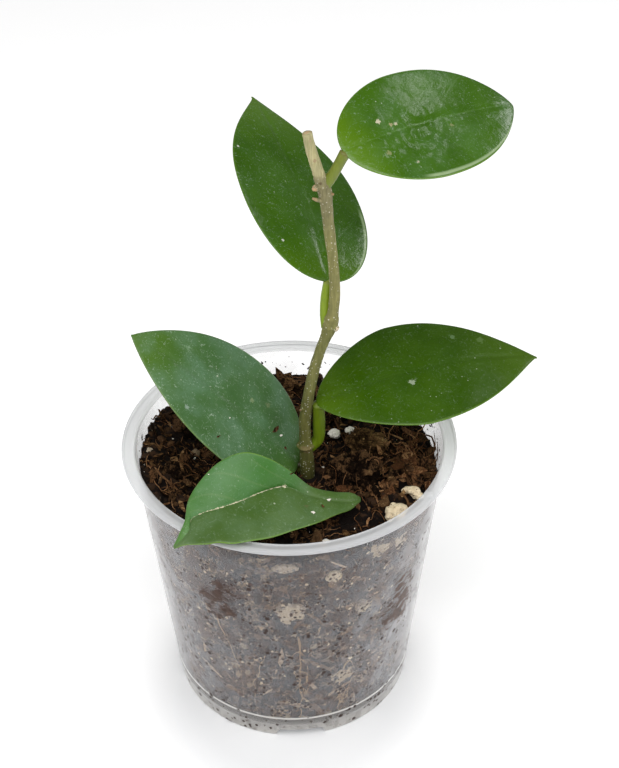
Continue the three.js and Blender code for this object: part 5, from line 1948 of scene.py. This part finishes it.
add_piece("main_roots", points, faces, [root_skin], ["roots"], tone=tone)


# %% Roots and crumbs against the wall
def on_wall(angle, height, gap=0.55):
    """A place just inside the wall. The angle is in degrees round the pot, -90 to the front."""
    radius = wall_inside(height) - gap
    return radius * math.cos(math.radians(angle)), radius * math.sin(math.radians(angle)), height


def wall_root(angle, top, bottom, thickness, sway, rootlets=7):
    """A knotty root that runs down the wall and thins out, with short rootlets."""
    knots = []
    for step in range(13):
        share = step / 12
        lean = angle + sway * math.sin(2.2 * share + angle) + chance.gauss(0, 0.45)
        width = thickness * (1 - 0.6 * share) * chance.uniform(0.7, 1.3)
        knots.append((lean, top + (bottom - top) * share, width))
    shapes = [lay_root(knots)]
    for _ in range(rootlets):
        lean, height, width = chance.choice(knots)
        side, drop = chance.choice((-1, 1)) * chance.uniform(1.5, 5.0), chance.uniform(1.0, 6.0)
        bends = [(0, 0), (0.4, 0.25 + chance.uniform(-0.2, 0.2)), (1, 1)]
        path = [(lean + side * a, height - drop * b, 0.55 * width * (1.2 - a)) for a, b in bends]
        shapes.append(lay_root(path))
    return shapes


def lay_root(knots):
    """A tube pressed against the wall, through rows of angle, height and radius."""
    rings = [(*on_wall(angle, height, 0.3 + radius), radius) for angle, height, radius in knots]
    line = smooth_line(rings, 40)
    return tube(line[:, :3], line[:, 3] * (1 + 0.3 * bumps(line[:, :3], 0.9, 71, 2)), 7)


WALL_ROOTS = [
    (-87.6, 50, 8.0, 0.38, 0.9, 12),
    (-86.5, 34, 22, 0.20, -3.0),
    (-86.0, 26, 12, 0.16, 3.5),
    (-66.0, 33, 8.0, 0.30, 2.0),
    (-63.5, 24, 7.5, 0.22, -2.0),
    (-69.0, 22, 8.0, 0.18, 2.5),
    (-104.0, 40, 14, 0.18, 5.0),
    (-120.0, 55, 22, 0.16, 6.0),
    (-48.0, 58, 30, 0.20, -5.0),
    (20.0, 50, 10, 0.30, 4.0),
    (100.0, 60, 9, 0.32, -5.0),
    (170.0, 48, 12, 0.28, 5.0),
]
points, faces, owner = merged([shape for row in WALL_ROOTS for shape in wall_root(*row)])
add_piece("wall_roots", points, faces, [root_skin], tone=0.3 + 0.5 * (owner % 3) / 2)


# %% Crumbs that stick to the wall
def wall_bits(name, count, smallest, largest, low, high, finish, stretch=2.2):
    """Flat crumbs and shreds pressed against the inside of the wall."""
    shapes, tones = [], []
    for _ in range(count):
        angle, height = chance.uniform(-180, 180), chance.uniform(low, high)
        size = smallest + (largest - smallest) * chance.random() ** 3
        seed = chance.uniform(0, 900)
        ball, ball_faces = chance.choice(SHARDS)
        swell = 1 + 0.45 * bumps(ball, 0.9, seed, 2)
        lean = chance.uniform(0, math.pi)
        sizes = np.array([size * chance.uniform(0.7, stretch), size * 0.7, 0.22])
        flat = ball * swell[:, None] * sizes
        out = math.radians(angle)
        across = np.array([-math.sin(out), math.cos(out), 0.0])
        outward = np.array([math.cos(out), math.sin(out), 0.0])
        up = np.array([0.0, 0.0, 1.0])
        first = across * math.cos(lean) + up * math.sin(lean)
        second = up * math.cos(lean) - across * math.sin(lean)
        place = np.array(on_wall(angle, height, 0.45))
        shapes.append((place + flat @ np.stack([first, second, outward]), ball_faces))
        tones.append(chance.random())
    points, faces, owner = merged(shapes)
    reach = np.hypot(points[:, 0], points[:, 1])
    limit = wall_inside(points[:, 2]) - 0.1
    points[:, :2] *= np.minimum(1, limit / reach)[:, None]
    add_piece(name, points, faces, [finish], tone=np.array(tones)[owner], soft=False)


wall_bits("wall_crumbs", 1100, 0.2, 2.2, 8, 84, brown_peat)
wall_bits("wall_shreds", 420, 0.15, 1.8, 8, 84, dry_fibre, stretch=5.0)
wall_bits("wall_grit", 150, 0.15, 1.2, 9, 84, pumice, stretch=1.4)
wall_bits("rim_crumbs", 120, 0.15, 0.8, 86, 92.5, peat)

# %% [markdown]
# ## The two boxes
#
# The sizes of the CAD box and of the visual model's box are printed.

# %% Print the sizes of both boxes
visual_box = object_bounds()
for label, box in (("CAD", cad_box), ("visual", visual_box)):
    print(label, "size in mm:", [round((high - low) / MM, 1) for low, high in zip(*box)])
